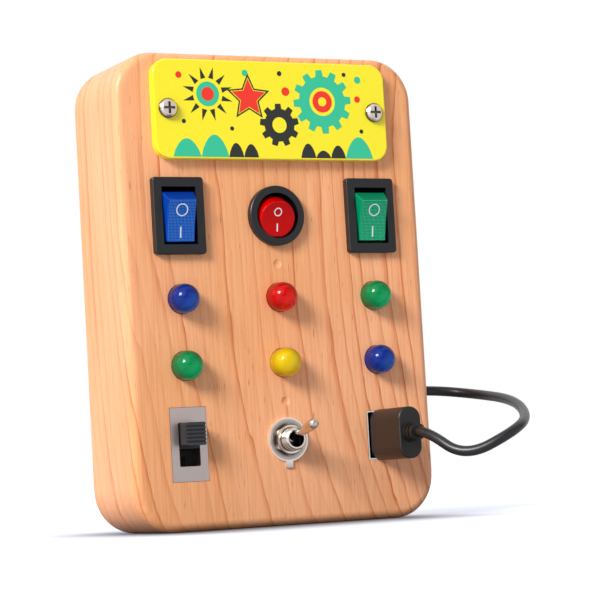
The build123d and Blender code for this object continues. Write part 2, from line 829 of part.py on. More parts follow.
# ------------------------------------------------------------------ toggle switch
def toggle_bushing():
    """The bushing: a conical mouth, a seat for the lever's ball, and slots up which its pin went in."""
    seat = toggle_ball_radius + shaft_gap
    pivot = toggle_pivot_rise
    throat = pivot + math.sqrt(seat**2 - bushing_throat_radius**2)
    lean_half = math.asin((throat - pivot) / seat) / 2
    seat_middle = (seat * math.cos(lean_half), pivot + seat * math.sin(lean_half))
    top, edge = bushing_rise, bushing_edge
    sides = Polyline((seat, pivot), (bushing_bore_radius, -front_wall), (bushing_radius, -front_wall),
                     (bushing_radius, top - edge), (bushing_radius - edge, top),
                     (bushing_mouth_radius, top), (bushing_throat_radius, throat))
    ball_seat = ThreePointArc((bushing_throat_radius, throat), seat_middle, (seat, pivot))
    bushing = revolve(make_face(Plane.XZ * Curve([sides, ball_seat])), Axis.Z)
    reach = toggle_pin_reach + seat_gap
    half = toggle_pin_radius + shaft_gap
    slot = block(2 * reach, 2 * half, -front_wall - 1, pivot)
    return bushing - slot - Pos(0, 0, pivot) * Rot(Y=90) * rod(half, -reach, reach)


def toggle_lever():
    """The lever about its pivot and upright: round-ended bat, neck, ball, cross pin and the foot below."""
    bat = turned([(0, 0), (toggle_neck_radius, 0), (toggle_neck_radius, toggle_neck_length),
                  (toggle_tip_radius, toggle_tip_reach - toggle_tip_length),
                  (toggle_tip_radius, toggle_tip_reach), (0, toggle_tip_reach)])
    tip = Pos(0, 0, toggle_tip_reach) * Sphere(toggle_tip_radius)
    pin = Rot(Y=90) * rod(toggle_pin_radius, -toggle_pin_reach, toggle_pin_reach)
    foot = rod(toggle_foot_radius, -toggle_foot_reach, 0)
    foot_end = Pos(0, 0, -toggle_foot_reach) * Sphere(toggle_foot_radius)
    return bat + tip + Sphere(toggle_ball_radius) + pin + foot + foot_end


def toggle_nut():
    """The chamfered hexagon nut, corners up and down."""
    corner = toggle_nut_flats / math.sqrt(3)
    out = corner + 1
    low = washer_thickness
    high = low + toggle_nut_height
    hexagon = Pos(0, 0, low) * extrude(RegularPolygon(corner, 6, rotation=30), toggle_nut_height)
    flat = toggle_nut_flats / 2
    shoulder = high - 0.6 * (out - flat)
    cone = turned([(0, low - 1), (out, low - 1), (out, shoulder), (flat - 0.1, high), (0, high)])
    return (hexagon & cone) - rod(bushing_radius + seat_gap, low - 1, high + 1)


def lock_washer():
    """The round washer with its locating tab, which points down."""
    ring = rod(washer_radius, 0, washer_thickness)
    tab_length = washer_tab_reach - washer_radius / 2
    tab = block(washer_tab_width, tab_length, 0, washer_thickness)
    ring += Pos(0, -washer_radius / 2 - tab_length / 2, 0) * tab
    return ring - rod(bushing_radius + seat_gap, -1, washer_thickness + 1)


def toggle_body():
    """The moulded body below the wall, open at the top for the lever's foot and the see-saw."""
    top = -front_wall - toggle_frame_thickness
    low = top - toggle_body_depth
    body = block(toggle_body_width, toggle_body_length, low, top, 0.6)
    inner_width = toggle_body_width - 2 * toggle_body_wall
    inner_length = toggle_body_length - 2 * toggle_body_wall
    body -= block(inner_width, inner_length, low + switch_floor, top + 1)
    for slot in switch_slots((-seesaw_button_place, 0, seesaw_button_place), low):
        body -= slot
    return body


def toggle_frame():
    """The bent metal strap that ties the body to the bushing: a top plate and an ear down each end."""
    top = -front_wall
    thick = toggle_frame_thickness
    length = toggle_body_length + 2 * thick
    frame = block(toggle_body_width, length, top - thick, top, 0.5)
    for side in (-1, 1):
        ear = block(toggle_body_width - 2.0, thick, top - toggle_body_depth * 0.7, top - thick)
        frame += Pos(0, side * (length - thick) / 2, 0) * ear
    return frame - rod(bushing_bore_radius, top - 2, top + 1)


def toggle_switch():
    ridge = ridge_level(toggle_pivot_rise, toggle_foot_reach, toggle_foot_radius)
    floor_under = -front_wall - toggle_frame_thickness - toggle_body_depth
    blades = [fulcrum(ridge, floor_under)]
    for side in (-1, 1):
        blades.append(Pos(0, side * seesaw_button_place, 0) * blade(ridge + contact_level(), floor_under))
    pieces = {
        "toggle_bushing": [toggle_bushing()],
        "toggle_frame": [toggle_frame()],
        "toggle_body": [toggle_body()],
        "toggle_nut": [toggle_nut()],
        "toggle_lock_washer": [lock_washer()],
        "toggle_lever": [Pos(0, 0, toggle_pivot_rise) * Rot(X=-toggle_throw) * toggle_lever()],
        "toggle_contact": [Pos(0, 0, ridge) * Rot(X=seesaw_throw) * seesaw()],
        "toggle_terminals": blades,
    }
    return all_on_front(0, lower_row, pieces)


# ------------------------------------------------------------------ slide switch
def slide_frame():
    """The bent steel frame: flush plate with the knob's slot, and a side wall down each long edge."""
    frame = block(slide_plate_width, slide_plate_height, -slide_plate_thickness, 0, 0.3)
    wall = block(slide_plate_thickness, slide_can_height, -slide_can_depth, -slide_plate_thickness)
    for side in (-1, 1):
        frame += Pos(side * (slide_can_width - slide_plate_thickness) / 2, 0, 0) * wall
    return frame - block(slide_slot_width, slide_slot_height, -1, 1, 0.4)


def slide_base():
    """The moulded base between the frame's walls, with an end wall each side of the slider."""
    width = slide_can_width - 2 * slide_plate_thickness
    base = block(width, slide_can_height, -slide_can_depth, -slide_plate_thickness)
    room = slide_can_height - 2 * slide_base_end
    base -= block(width + 1, room, -slide_can_depth + slide_base_thickness, 0)
    slot = block(slide_leg_width + 2 * seat_gap, slide_leg_thickness + 2 * seat_gap, -slide_can_depth - 1, 0)
    for place in slide_terminal_places():
        base -= Pos(0, place, 0) * slot
    return base


def slide_terminal_places():
    return (-slide_terminal_pitch, 0, slide_terminal_pitch)


def slide_terminals():
    """Three fixed contacts: a pad on the base and a leg through it."""
    floor = -slide_can_depth + slide_base_thickness
    pad = block(slide_pad_width, slide_pad_height, floor, floor + slide_pad_thickness)
    leg = block(slide_leg_width, slide_leg_thickness, -slide_can_depth - slide_terminal_reach, floor)
    return [Pos(0, place, 0) * (pad + leg) for place in slide_terminal_places()]


def slide_knob():
    """The ribbed knob on its slider, at the upper end of its travel."""
    top = slide_knob_rise
    under = -slide_plate_thickness - seat_gap
    knob = block(slide_knob_width, slide_knob_height, under - 0.1, top, 0.5)
    pitch = slide_knob_height / slide_rib_count
    for k in range(1, slide_rib_count):
        groove = block(slide_knob_width + 1, pitch * 0.5, top - slide_rib_depth, top + 1)
        knob -= Pos(0, -slide_knob_height / 2 + k * pitch, 0) * groove
    width = slide_can_width - 2 * slide_plate_thickness - 2 * slide_gap
    low = under - slider_thickness
    slider = block(width, slider_height, low, under)
    pocket_height = slider_height - 2 * slider_rim
    slider -= block(wiper_width + 2 * seat_gap, pocket_height, low - 1, low + slider_pocket_depth)
    return Pos(0, slide_travel / 2, 0) * (knob + slider)


def slide_wiper():
    """The springy strip under the slider, bowed down to two contact bumps."""
    under = -slide_plate_thickness - seat_gap
    crest = under - slider_thickness + slider_pocket_depth
    dip = -slide_can_depth + slide_base_thickness + slide_pad_thickness + seat_gap + wiper_thickness
    end = crest - slider_pocket_depth - 0.1
    half = slider_height / 2 - slider_rim - 0.1
    bump = slide_terminal_pitch / 2
    upper = [(-half, end), (-bump - 0.5, dip), (-bump + 0.5, dip), (0, crest),
             (bump - 0.5, dip), (bump + 0.5, dip), (half, end)]
    lower = [(y, z - wiper_thickness) for y, z in reversed(upper)]
    strip = extrude(make_face(Plane.YZ * Polyline(*upper, *lower, close=True)), wiper_width / 2, both=True)
    return Pos(0, slide_travel / 2, 0) * strip


def slide_switch():
    pieces = {
        "slide_switch_frame": [slide_frame()],
        "slide_switch_base": [slide_base()],
        "slide_switch_terminals": slide_terminals(),
        "slide_switch_knob": [slide_knob()],
        "slide_switch_wiper": [slide_wiper()],
    }
    return all_on_front(-column_pitch, lower_row, pieces)


# ------------------------------------------------------------------ USB socket and plug
# The socket's tongue lies left of the middle, and the plug's right of it.
plug_inner_thickness = plug_shell_thickness - 2 * usb_shell_wall
tongue_side = plug_inner_thickness / 4
plug_nose = plug_grip_start - plug_shell_length
plug_root = plug_grip_start + plug_stem_length
plug_stop = plug_grip_start - 1.0
plug_contact_level = -tongue_side + (usb_tongue_thickness + 3 * usb_contact_thickness) / 2 + 2 * seat_gap


def socket_shell():
    """The folded metal shell with a lip that flares out to the wood's cut-out."""
    depth = usb_lip_depth
    wall = usb_shell_wall

    def flare(grow):
        inner = Rectangle(usb_mouth_thickness + 2 * grow, usb_mouth_width + 2 * grow)
        outer = Rectangle(usb_lip_thickness - 2 * wall + 2 * grow, usb_lip_width - 2 * wall + 2 * grow)
        return loft([Pos(0, 0, -depth) * inner, outer])

    shell = flare(wall) - flare(0)
    tube = block(usb_mouth_thickness + 2 * wall, usb_mouth_width + 2 * wall, -usb_socket_depth, -depth)
    tube -= block(usb_mouth_thickness, usb_mouth_width, -usb_socket_depth - 1, -depth + 1)
    return shell + tube


def socket_tongue():
    """The moulded block at the socket's back with the tongue that stands up from it."""
    gap = 2 * seat_gap
    base = block(usb_mouth_thickness - gap, usb_mouth_width - gap, -usb_socket_depth, usb_floor)
    tongue = block(usb_tongue_thickness, usb_tongue_width, usb_floor, usb_floor + usb_tongue_length)
    return base + Pos(-tongue_side, 0, 0) * chamfer(top_edges(tongue), usb_tongue_edge)


def socket_contacts():
    """Four springy strips along the tongue."""
    level = -tongue_side + (usb_tongue_thickness + usb_contact_thickness) / 2
    strip = block(usb_contact_thickness, usb_contact_width, usb_floor, usb_floor + usb_contact_length)
    return [Pos(level, place, 0) * strip for place in usb_contact_places]


def socket_board():
    board = block(usb_board_width, usb_board_height, usb_board_back, usb_board_face, board_corner_radius)
    holes = [(0, side * usb_board_screw_pitch / 2, board_screw_radius) for side in (-1, 1)]
    holes += [(x, y, wire_radius) for x, y in usb_wire_pads]
    for x, y, radius in holes:
        board -= Pos(x, y, 0) * rod(radius + board_hole_slack, usb_board_back - 1, usb_board_face + 1)
    return board


def plug_shell():
    """The plug's folded metal sleeve, open at its nose, with its two square locking windows each side."""
    thick, inner = plug_shell_thickness, plug_inner_thickness
    wall = usb_shell_wall
    sleeve = block(thick, plug_shell_width, plug_nose, plug_grip_start, plug_shell_corner)
    sleeve += block(thick, plug_stem_width, plug_grip_start, plug_root, plug_shell_corner)
    sleeve -= block(inner, plug_shell_width - 2 * wall, plug_nose - 1, plug_grip_start - wall)
    sleeve -= block(inner, plug_stem_width - 2 * wall, plug_nose, plug_root + 1)
    window = Box(thick + 1, plug_window_width, plug_window_height)
    for side in (-1, 1):
        sleeve -= Pos(0, side * plug_window_out, plug_nose + plug_window_inset) * window
    return sleeve


def plug_tongue():
    """The plug's moulded half that lies beside the socket's tongue, and the block behind it."""
    width = plug_shell_width - 2 * usb_shell_wall - 2 * seat_gap
    stem_width = plug_stem_width - 2 * usb_shell_wall - 2 * seat_gap
    depth = plug_inner_thickness - 2 * seat_gap
    low = plug_contact_level + usb_contact_thickness / 2
    tongue = block(depth / 2 - low, width, plug_nose + 0.4, plug_stop)
    tongue = Pos(depth / 4 + low / 2, 0, 0) * tongue
    stop = block(depth, width, plug_stop, plug_grip_start - usb_shell_wall)
    return tongue + stop + block(depth, stem_width, plug_stop, plug_root)


def plug_contacts():
    """Four flat contacts on the plug's tongue."""
    strip = block(usb_contact_thickness, usb_contact_width, plug_nose + 1.6, plug_stop)
    return [Pos(plug_contact_level, place, 0) * strip for place in usb_contact_places]


def plug_grip():
    """The overmoulded grip with rounded sides, and the ribbed strain relief at its end."""
    start, end = plug_grip_start, plug_grip_start + plug_grip_length
    grip = block(plug_grip_thickness, plug_grip_width, start, end, plug_grip_corner)
    grip = fillet(grip.faces().filter_by(Plane.XY).edges(), plug_grip_edge)
    relief = turned([(0, -relief_root), (relief_root_radius, -relief_root), (relief_root_radius, 0),
                     (relief_end_radius, relief_length), (0, relief_length)])
    groove_pitch = relief_length / (relief_groove_count + 1)
    for k in range(1, relief_groove_count + 1):
        z = k * groove_pitch
        radius = relief_root_radius + (relief_end_radius - relief_root_radius) * z / relief_length
        cut = rod(radius + 1, z - relief_groove_width / 2, z + relief_groove_width / 2)
        relief -= cut - rod(radius - relief_groove_depth, z - 1, z + 1)
    grip += Pos(0, 0, end) * relief
    return grip - block(plug_shell_thickness, plug_stem_width, start - 1, plug_root, plug_shell_corner)


def usb_pieces():
    pieces = {
        "usb_socket_shell": [socket_shell()],
        "usb_socket_tongue": [socket_tongue()],
        "usb_socket_contacts": socket_contacts(),
        "usb_socket_board": [socket_board()],
        "usb_plug_shell": [plug_shell()],
        "usb_plug_tongue": [plug_tongue()],
        "usb_plug_contacts": plug_contacts(),
        "usb_plug_grip": [plug_grip()],
    }
    return all_on_front(usb_column, lower_row, pieces)


# ------------------------------------------------------------------ cord
def relief_end():
    """The middle of the strain relief's end and the way it points, in the board's frame."""
    end = plug_grip_start + plug_grip_length + relief_length
    place = front_plane.location * Pos(usb_column, lower_row, end)
    return place.position, Plane(place).z_dir


def corner_radii(points, largest):
    """The arc that each corner of a cord's route allows."""
    radii = []
    for before, here, after in zip(points, points[1:], points[2:]):
        first, second = here - before, after - here
        half_turn = math.radians(first.get_angle(second)) / 2
        radii.append(min(0.45 * min(first.length, second.length) / math.tan(half_turn), largest))
    return radii


def cord_tube(points, largest=math.inf):
    """A round tube along straight runs joined by tangent arcs."""
    path = FilletPolyline(*points, radius=corner_radii(points, largest))
    section = Plane(origin=path @ 0, z_dir=path % 0) * Circle(cord_radius)
    return sweep(section, path=path)


def usb_cord():
    """The free cord from the right side to the plug's strain relief."""
    end, away = relief_end()
    exit_point = Vector(right_x, 0, cord_exit_height)
    free = [exit_point + Vector(*step) for step in cord_free_steps]
    return cord_tube([exit_point, *free, end + away * cord_last_run, end])


def usb_cord_inner():
    """The held part of the cord: through its bush and along the LED circuit board's back."""
    level = front_y - board_back + cord_radius
    height = board_row - board_height / 2 + cord_radius + cord_inner_rise
    points = [Vector(right_x, 0, cord_exit_height),
              Vector(right_x - cord_inner_run, 0, cord_exit_height),
              Vector(right_x - cord_inner_landing, level, height),
              Vector(right_x - cord_inner_end, level, height + cord_inner_climb)]
    return cord_tube(points, cord_inner_bend)


def cord_bush():
    """The bush in the side wall, with its flange inside."""
    end = side_wall + cord_bush_flange_height
    bush = rod(cord_bush_radius, 0, end) + rod(cord_bush_flange_radius, side_wall, end)
    bush -= rod(cord_radius + seat_gap, -1, end + 1)
    return Pos(right_x, 0, cord_exit_height) * Rot(Y=-90) * bush


# ------------------------------------------------------------------ battery box
def cell_places():
    """The two cells side by side, as heights above the box's middle."""
    offset = cell_radius + cell_gap / 2
    return (-offset, offset)


def battery_box():
    """The moulded tray in the rear panel, with its flange and a boss for each cover screw."""
    box = flange_outline(0, -box_flange_thickness, 0)
    box += block(box_length, box_width, -box_depth, 0, cover_corner_radius)
    screw_end = -cover_screw_sink - cover_screw_length
    for side in (-1, 1):
        box += Pos(side * cover_screw_x, 0, 0) * rod(cover_boss_radius, screw_end - cover_screw_spare, 0)
    box -= cover_outline(hole_gap, -cover_thickness, 1)
    box -= block(box_bay_length, box_bay_width, -box_depth + box_floor, 0)
    for side in (-1, 1):
        box -= Pos(side * cover_screw_x, 0, 0) * rod(cover_screw_radius + shaft_gap, screw_end - 0.5, 1)
    for place in cell_places():
        hole = Rot(Y=90) * rod(wire_radius + board_hole_slack, box_bay_length / 2 - 1, box_length / 2 + 1)
        box -= Pos(0, place, cell_level) * hole
    return box


def battery_cells():
    """Two cylindrical cells that lie opposite ways round."""
    cell = turned([(0, 0), (cell_radius, 0), (cell_radius, cell_length), (cell_pip_radius, cell_length),
                   (cell_pip_radius, cell_length + cell_pip_height), (0, cell_length + cell_pip_height)])
    cell = Pos(-(cell_length + cell_pip_height) / 2, 0, 0) * Rot(Y=90) * cell
    low, high = cell_places()
    return [Pos(0, low, cell_level) * cell, Pos(0, high, cell_level) * Rot(Z=180) * cell]


def battery_contacts():
    """The contact plates: one that links both cells, and one each at the other end, with studs and cones."""
    thick = cell_contact_thickness
    gap = (box_bay_length - cell_length - cell_pip_height) / 2 - thick
    root, tip, wall = cell_spring_root_radius, cell_spring_tip_radius, cell_spring_wall
    spring = turned([(root - wall, 0), (root, 0), (tip, gap), (tip - wall, gap)])
    stud = rod(cell_stud_radius, 0, gap)
    low, high = cell_places()
    plate = Pos(0, 0, -thick / 2) * Box(cell_contact_size, cell_contact_size, thick)
    link = Pos(0, 0, -thick / 2) * Box(cell_contact_size, high - low + cell_contact_size, thick)
    at_left = Pos(thick - box_bay_length / 2, 0, cell_level) * Rot(Y=90)
    at_right = Pos(box_bay_length / 2 - thick, 0, cell_level) * Rot(Y=-90)
    linked = at_left * (link + Pos(0, low, 0) * spring + Pos(0, high, 0) * stud)
    return [linked, at_right * Pos(0, low, 0) * (plate + stud), at_right * Pos(0, high, 0) * (plate + spring)]


def battery_cover():
    """The flush cover with finger ribs and a countersink over each boss."""
    cover = cover_outline(0, -cover_thickness, 0)
    hole = rod(cover_screw_radius + 0.1, -cover_thickness - 1, 1)
    seat = rod(cover_screw_head_radius + 0.15, -cover_screw_sink, 1)
    for side in (-1, 1):
        cover -= Pos(side * cover_screw_x, 0, 0) * (hole + seat)
    groove = block(cover_rib_width, cover_rib_length, -cover_rib_depth, 1, 0.4)
    for k in range(cover_rib_count):
        cover -= Pos((k - (cover_rib_count - 1) / 2) * cover_rib_pitch, 0, 0) * groove
    return cover


def battery_cover_screws():
    head = cover_screw_head_radius, cover_screw_head_height
    screw = pan_screw(cover_screw_radius, *head, cover_screw_length)
    return [Pos(side * cover_screw_x, 0, -cover_screw_sink) * screw for side in (-1, 1)]


def battery_pieces():
    pieces = {
        "battery_box": [battery_box()],
        "battery_cells": battery_cells(),
        "battery_contacts": battery_contacts(),
        "battery_cover": [battery_cover()],
        "battery_cover_screws": battery_cover_screws(),
    }
    return {node: [on_back(0, box_row, shape) for shape in shapes] for node, shapes in pieces.items()}


# ------------------------------------------------------------------ wiring
def wire_landings():
    """Where each wire enters the LEDs' board, in the front's frame."""
    return [(route[-1][0], route[-1][1]) for route in wire_routes()]


def wire_routes():
    """The wires' corner points as (x, y, level) in the front's frame, each ending in the LEDs' board."""
    top = board_row + board_height / 2 - wire_edge
    foot = board_row - board_height / 2 + wire_edge
    eye = -switch_well_depth - switch_floor - blade_reach + blade_eye_inset
    routes = []
    for x in (-column_pitch, 0, column_pitch):
        fixed = rocker_row + seesaw_button_place
        over = fixed + 2 * wire_bend
        routes.append([(x, rocker_row + wire_end, eye), (x, top, eye), (x, top, board_face)])
        routes.append([(x, fixed - wire_end, eye), (x, over, eye), (x + wire_side, over, eye),
                       (x + wire_side, top, eye), (x + wire_side, top, board_face)])

    # The toggle switch: its middle blade and the upper one, clear of the battery box.
    eye = -front_wall - toggle_frame_thickness - toggle_body_depth - blade_reach + blade_eye_inset
    near = board_face - 6.0
    turn, rise = lower_row + 9.6, lower_row + 14.1
    for x, start in ((0, lower_row + seesaw_button_place), (-wire_side, lower_row)):
        route = [(0, start - wire_end, eye)]
        if x:
            route += [(0, start + 2.1, eye), (x, start + 2.1, eye)]
        route += [(x, turn, eye), (x, rise, near), (x, foot, near), (x, foot, board_face)]
        routes.append(route)

    # The slide switch: along the left of its upper leg, and along the right of its middle one.
    level = -slide_can_depth - slide_terminal_reach + 1.0
    beside = slide_leg_width / 2 + wire_radius + seat_gap
    for x, out, start in ((-column_pitch - beside, 0, lower_row + slide_terminal_pitch),
                          (-column_pitch + beside, 1.8, lower_row)):
        route = [(x, start - wire_end, level)]
        if out:
            route += [(x, start + 1.6, level), (x + out, start + 3.6, level)]
        routes.append(route + [(x + out, foot, level), (x + out, foot, board_face)])

    # The USB socket's board.
    for (x, y), land, back in zip(usb_wire_pads, usb_wire_lands, (3.0, 4.3)):
        x, y, level = usb_column + x, lower_row + y, usb_board_back - back
        routes.append([(x, y, usb_board_face), (x, y, level), (land, y + 4.5, level), (land, foot, level),
                       (land, foot, board_face)])

    # The battery box: out of its end wall, round it and to the middle of the board's left end.
    outer = -box_length / 2 - 3.2
    level = -case_depth - cell_level
    for side, place in zip((-1, 1), cell_places()):
        start = -box_bay_length / 2 - 0.1
        y = board_row + side * 1.3
        routes.append([(start, box_row + place, level), (outer, box_row + place, level),
                       (outer, box_row + place / 3, board_back - 6.0), (outer + 4.4, y, board_back - 3.4),
                       (outer + 4.4, y, board_face)])
    return routes


def wires():
    """Insulated wires from each switch, the socket and the battery box to the LEDs' board."""
    tubes = []
    for route in wire_routes():
        points = [Vector(*point) for point in route]
        bends = [points[0]]
        for before, here, after in zip(points, points[1:], points[2:]):
            for other in (before, after):
                step = min(wire_bend, 0.4 * (other - here).length)
                bends.append(here + (other - here).normalized() * step)
        path = Polyline(*bends, points[-1])
        section = Plane(origin=path @ 0, z_dir=path % 0) * Circle(wire_radius)
        tubes.append(on_front(0, 0, sweep(section, path=path, transition=Transition.RIGHT)))
    return tubes


# ------------------------------------------------------------------ the whole board
def all_pieces():
    """Every node by name, each a list of separate solids."""
    panel_screw = countersunk_screw(wood_screw_radius, wood_screw_head_radius, panel_screw_length)
    nodes = {
        "wooden_case": [wooden_case()],
        "back_panel": [back_panel()],
        "back_panel_screws": [on_back(x, y, panel_screw) for x, y in panel_screw_places],
        "name_plate": [name_plate()],
        "name_plate_screws": name_plate_screws(),
    }
    for name, x in rocker_places.items():
        nodes |= rocker_switch(name, x, Square)
    nodes |= rocker_switch("round_rocker", 0, Round)
    sets = [nodes.pop(name + "_terminals") for name in (*rocker_places, "round_rocker")]
    nodes["rocker_terminals"] = [shape for shapes in sets for shape in shapes]
    for name, (x, y) in led_places.items():
        nodes[name] = [on_front(x, y, led_lens())]
    nodes |= {
        "led_leads": led_leads(),
        "led_board": [led_board()],
        "board_screws": [on_front(x, y, board_screw(board_back)) for x, y in board_boss_places],
        "resistors": [on_front(x, y, resistor()) for x, y in resistor_places()],
    }
    nodes |= toggle_switch()
    nodes |= slide_switch()
    nodes |= usb_pieces()
    nodes["board_screws"] += [on_front(x, y, board_screw(usb_board_back)) for x, y in usb_boss_places]
    nodes["usb_cord"] = [usb_cord()]
    nodes["usb_cord_inner"] = [usb_cord_inner()]
    nodes["cord_bush"] = [cord_bush()]
    nodes["wires"] = wires()
    nodes |= battery_pieces()
    return nodes


os.makedirs("parts", exist_ok=True)
for node, shapes in all_pieces().items():
    solids = [solid for shape in shapes for solid in shape.solids()]
    shape = solids[0] if len(solids) == 1 else Compound(solids)
    export_step(shape, "parts/" + node + ".step")
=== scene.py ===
# %% [markdown]
# # A wooden switch board
#
# The model arrives from CAD at its real size: a routed block of beech with switches, lamps and a short
# tethered plug on its front. This script gives every surface its finish, adds the fine parts that are too
# small or too soft for CAD, and sets up the light and the camera. Nothing from CAD is moved.

import json
import math

import bmesh
import bpy
from mathutils import Matrix, Quaternion, Vector


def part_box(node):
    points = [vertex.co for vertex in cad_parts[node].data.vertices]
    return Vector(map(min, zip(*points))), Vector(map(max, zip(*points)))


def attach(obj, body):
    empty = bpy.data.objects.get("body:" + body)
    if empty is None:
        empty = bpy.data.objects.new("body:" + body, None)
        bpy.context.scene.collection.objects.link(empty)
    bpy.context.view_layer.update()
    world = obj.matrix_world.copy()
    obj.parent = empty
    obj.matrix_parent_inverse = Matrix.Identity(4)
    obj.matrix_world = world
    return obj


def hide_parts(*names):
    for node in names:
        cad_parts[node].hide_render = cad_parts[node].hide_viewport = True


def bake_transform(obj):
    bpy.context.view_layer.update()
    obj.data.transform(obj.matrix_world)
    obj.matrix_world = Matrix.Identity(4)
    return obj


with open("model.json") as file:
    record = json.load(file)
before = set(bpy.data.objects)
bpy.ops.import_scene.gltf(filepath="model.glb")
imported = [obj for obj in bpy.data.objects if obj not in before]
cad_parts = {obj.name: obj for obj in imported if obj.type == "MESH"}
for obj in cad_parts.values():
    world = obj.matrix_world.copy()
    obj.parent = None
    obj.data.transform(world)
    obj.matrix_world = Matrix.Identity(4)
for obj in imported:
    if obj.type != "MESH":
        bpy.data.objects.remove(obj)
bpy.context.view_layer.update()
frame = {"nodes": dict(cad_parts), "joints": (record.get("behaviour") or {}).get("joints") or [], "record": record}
nodes = frame["nodes"]

# %% [markdown]
# ## Places on the board
#
# A maker measures a board from its front face: across, up and out of the wood. One matrix turns such
# millimetres into the model's metres, so that every later piece can be drawn flat on the bench and then
# stood where it belongs. A leaning cap needs the same matrix with a turn about the cap's hinge.

# %% Millimetres on the front
MM = 0.001
front_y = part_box("wooden_case")[0].y
scene = bpy.context.scene


def on_front(x, z, out=0.0, lean=0.0):
    """The matrix that stands a bench drawing (right, up, out, in millimetres) on the front at x, z."""
    upright = Matrix(((MM, 0, 0, x * MM), (0, 0, -MM, front_y - out * MM), (0, MM, 0, z * MM), (0, 0, 0, 1)))
    return upright @ Matrix.Rotation(math.radians(lean), 4, "X")


def middle(node):
    """The middle of a CAD node's box, in millimetres."""
    low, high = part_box(node)
    return (low + high) / 2 / MM


def new_object(name, data):
    """Puts new data in the scene as an object at the origin."""
    made = bpy.data.objects.new(name, data)
    scene.collection.objects.link(made)
    return made


def new_mesh(name, points, faces):
    """A mesh object from points and faces, with its faces turned outwards."""
    mesh = bpy.data.meshes.new(name)
    mesh.from_pydata([tuple(p) for p in points], [], faces)
    shape = bmesh.new()
    shape.from_mesh(mesh)
    bmesh.ops.remove_doubles(shape, verts=shape.verts, dist=1e-7)
    bmesh.ops.recalc_face_normals(shape, faces=shape.faces)
    shape.to_mesh(mesh)
    shape.free()
    return new_object(name, mesh)


def as_mesh(source, name):
    """The finished shape of an object as a plain mesh object; the source is removed."""
    ready = source.evaluated_get(bpy.context.evaluated_depsgraph_get())
    made = new_object(name, bpy.data.meshes.new_from_object(ready))
    bpy.data.objects.remove(source)
    return made


print("front face at", round(front_y / MM, 2), "mm")

# %% [markdown]
# ## The camera
#
# A long lens from the left and low down keeps the board's upright edges almost parallel. The lens is
# given in the usual 36 mm frame, and the small roll is the tilt of a camera held by hand.

# %% Stand, aim and lens
camera_stand = Vector((-276.2, -571.9, 14.0)) * MM
camera_aim = Vector((7.0, -15.75, 60.94)) * MM
camera_roll = math.radians(-3.34)
camera_data = bpy.data.cameras.new("camera")
camera_data.sensor_width = 36.0
camera_data.lens = 134.73
camera = new_object("camera", camera_data)
look = (camera_aim - camera_stand).to_track_quat("-Z", "Y")
camera.matrix_world = Matrix.LocRotScale(camera_stand, look @ Quaternion((0, 0, 1), camera_roll), None)
scene.camera = camera
print("camera", round((camera_aim - camera_stand).length / MM), "mm from the front")

# %% [markdown]
# ## Colours and shader nodes
#
# Colours are chosen as hex values from a paint chart, which are sRGB, while the shaders want linear
# light. One function converts them. A second one adds a node with its settings and its links, so that
# each finish below reads as a short recipe. It serves geometry nodes as well.

# %% Two helpers for every finish
def linear(colour):
    """An sRGB hex colour as linear RGBA."""
    channels = [int(colour[i:i + 2], 16) / 255 for i in (1, 3, 5)]
    return (*[c / 12.92 if c <= 0.04045 else ((c + 0.055) / 1.055) ** 2.4 for c in channels], 1.0)


def add(tree, kind, *values, out=0, **settings):
    """Adds a node and gives back one of its outputs, or the node itself where out is None.

    The values fill its sockets in order, or by name from a dictionary. Each is a plain value or another
    node's output. The settings are the node's own properties.
    """
    node = tree.nodes.new(kind)
    for name, value in settings.items():
        setattr(node, name, value)
    sockets = values[0] if values and isinstance(values[0], dict) else dict(enumerate(values))
    for name, value in sockets.items():
        if isinstance(value, bpy.types.NodeSocket):
            tree.links.new(value, node.inputs[name])
        else:
            node.inputs[name].default_value = value
    return node if out is None else node.outputs[out]


print("mid grey in linear light", round(linear("#808080")[0], 3))

# %% [markdown]
# ## A finish and its patterns
#
# Real grain, brush marks and moulding skin have a size that doesn't grow with the object, so every
# pattern here is laid out in millimetres of the object's own space. Noise gives the unevenness, a colour
# ramp turns it into paint, layers of colour are multiplied as with thin glazes, and a bump gives the
# shine its fine relief. Where a pattern follows a shape, a sum gives how far or how deep a point lies,
# with one node for each step. No picture has to be fitted to the surface.

# %% Patterns and layers
def new_finish(name, **sockets):
    """A new material with one Principled shader, and that shader's sockets set."""
    finish = bpy.data.materials.new(name)
    finish.use_nodes = True
    shader = finish.node_tree.nodes["Principled BSDF"]
    for socket, value in sockets.items():
        shader.inputs[socket.replace("_", " ")].default_value = value
    return finish, finish.node_tree, shader


def in_mm(tree, scale=(1, 1, 1)):
    """The surface's own coordinates in millimetres, each axis scaled as the pattern needs."""
    place = add(tree, "ShaderNodeTexCoord", out="Object")
    return add(tree, "ShaderNodeMapping", {"Vector": place, "Scale": [s / MM for s in scale]})


def noise(tree, scale, detail=2.0):
    """Soft noise in 0 to 1, with so many cells per millimetre along each axis."""
    return add(tree, "ShaderNodeTexNoise", {"Vector": in_mm(tree, scale), "Scale": 1.0, "Detail": detail})


def shades(tree, factor, *stops):
    """A colour ramp from (place, colour) stops."""
    ramp = add(tree, "ShaderNodeValToRGB", factor, out=None)
    stop_list = ramp.color_ramp.elements
    while len(stop_list) < len(stops):
        stop_list.new(1.0)
    for stop, (place, colour) in zip(stop_list, stops):
        stop.position = place
        stop.color = linear(colour)
    return ramp.outputs["Color"]


def tint(tree, amount, under, over):
    """One colour multiplied over another by an amount."""
    layers = {0: amount, 6: under, 7: over}
    return add(tree, "ShaderNodeMix", layers, out=2, data_type="RGBA", blend_type="MULTIPLY")


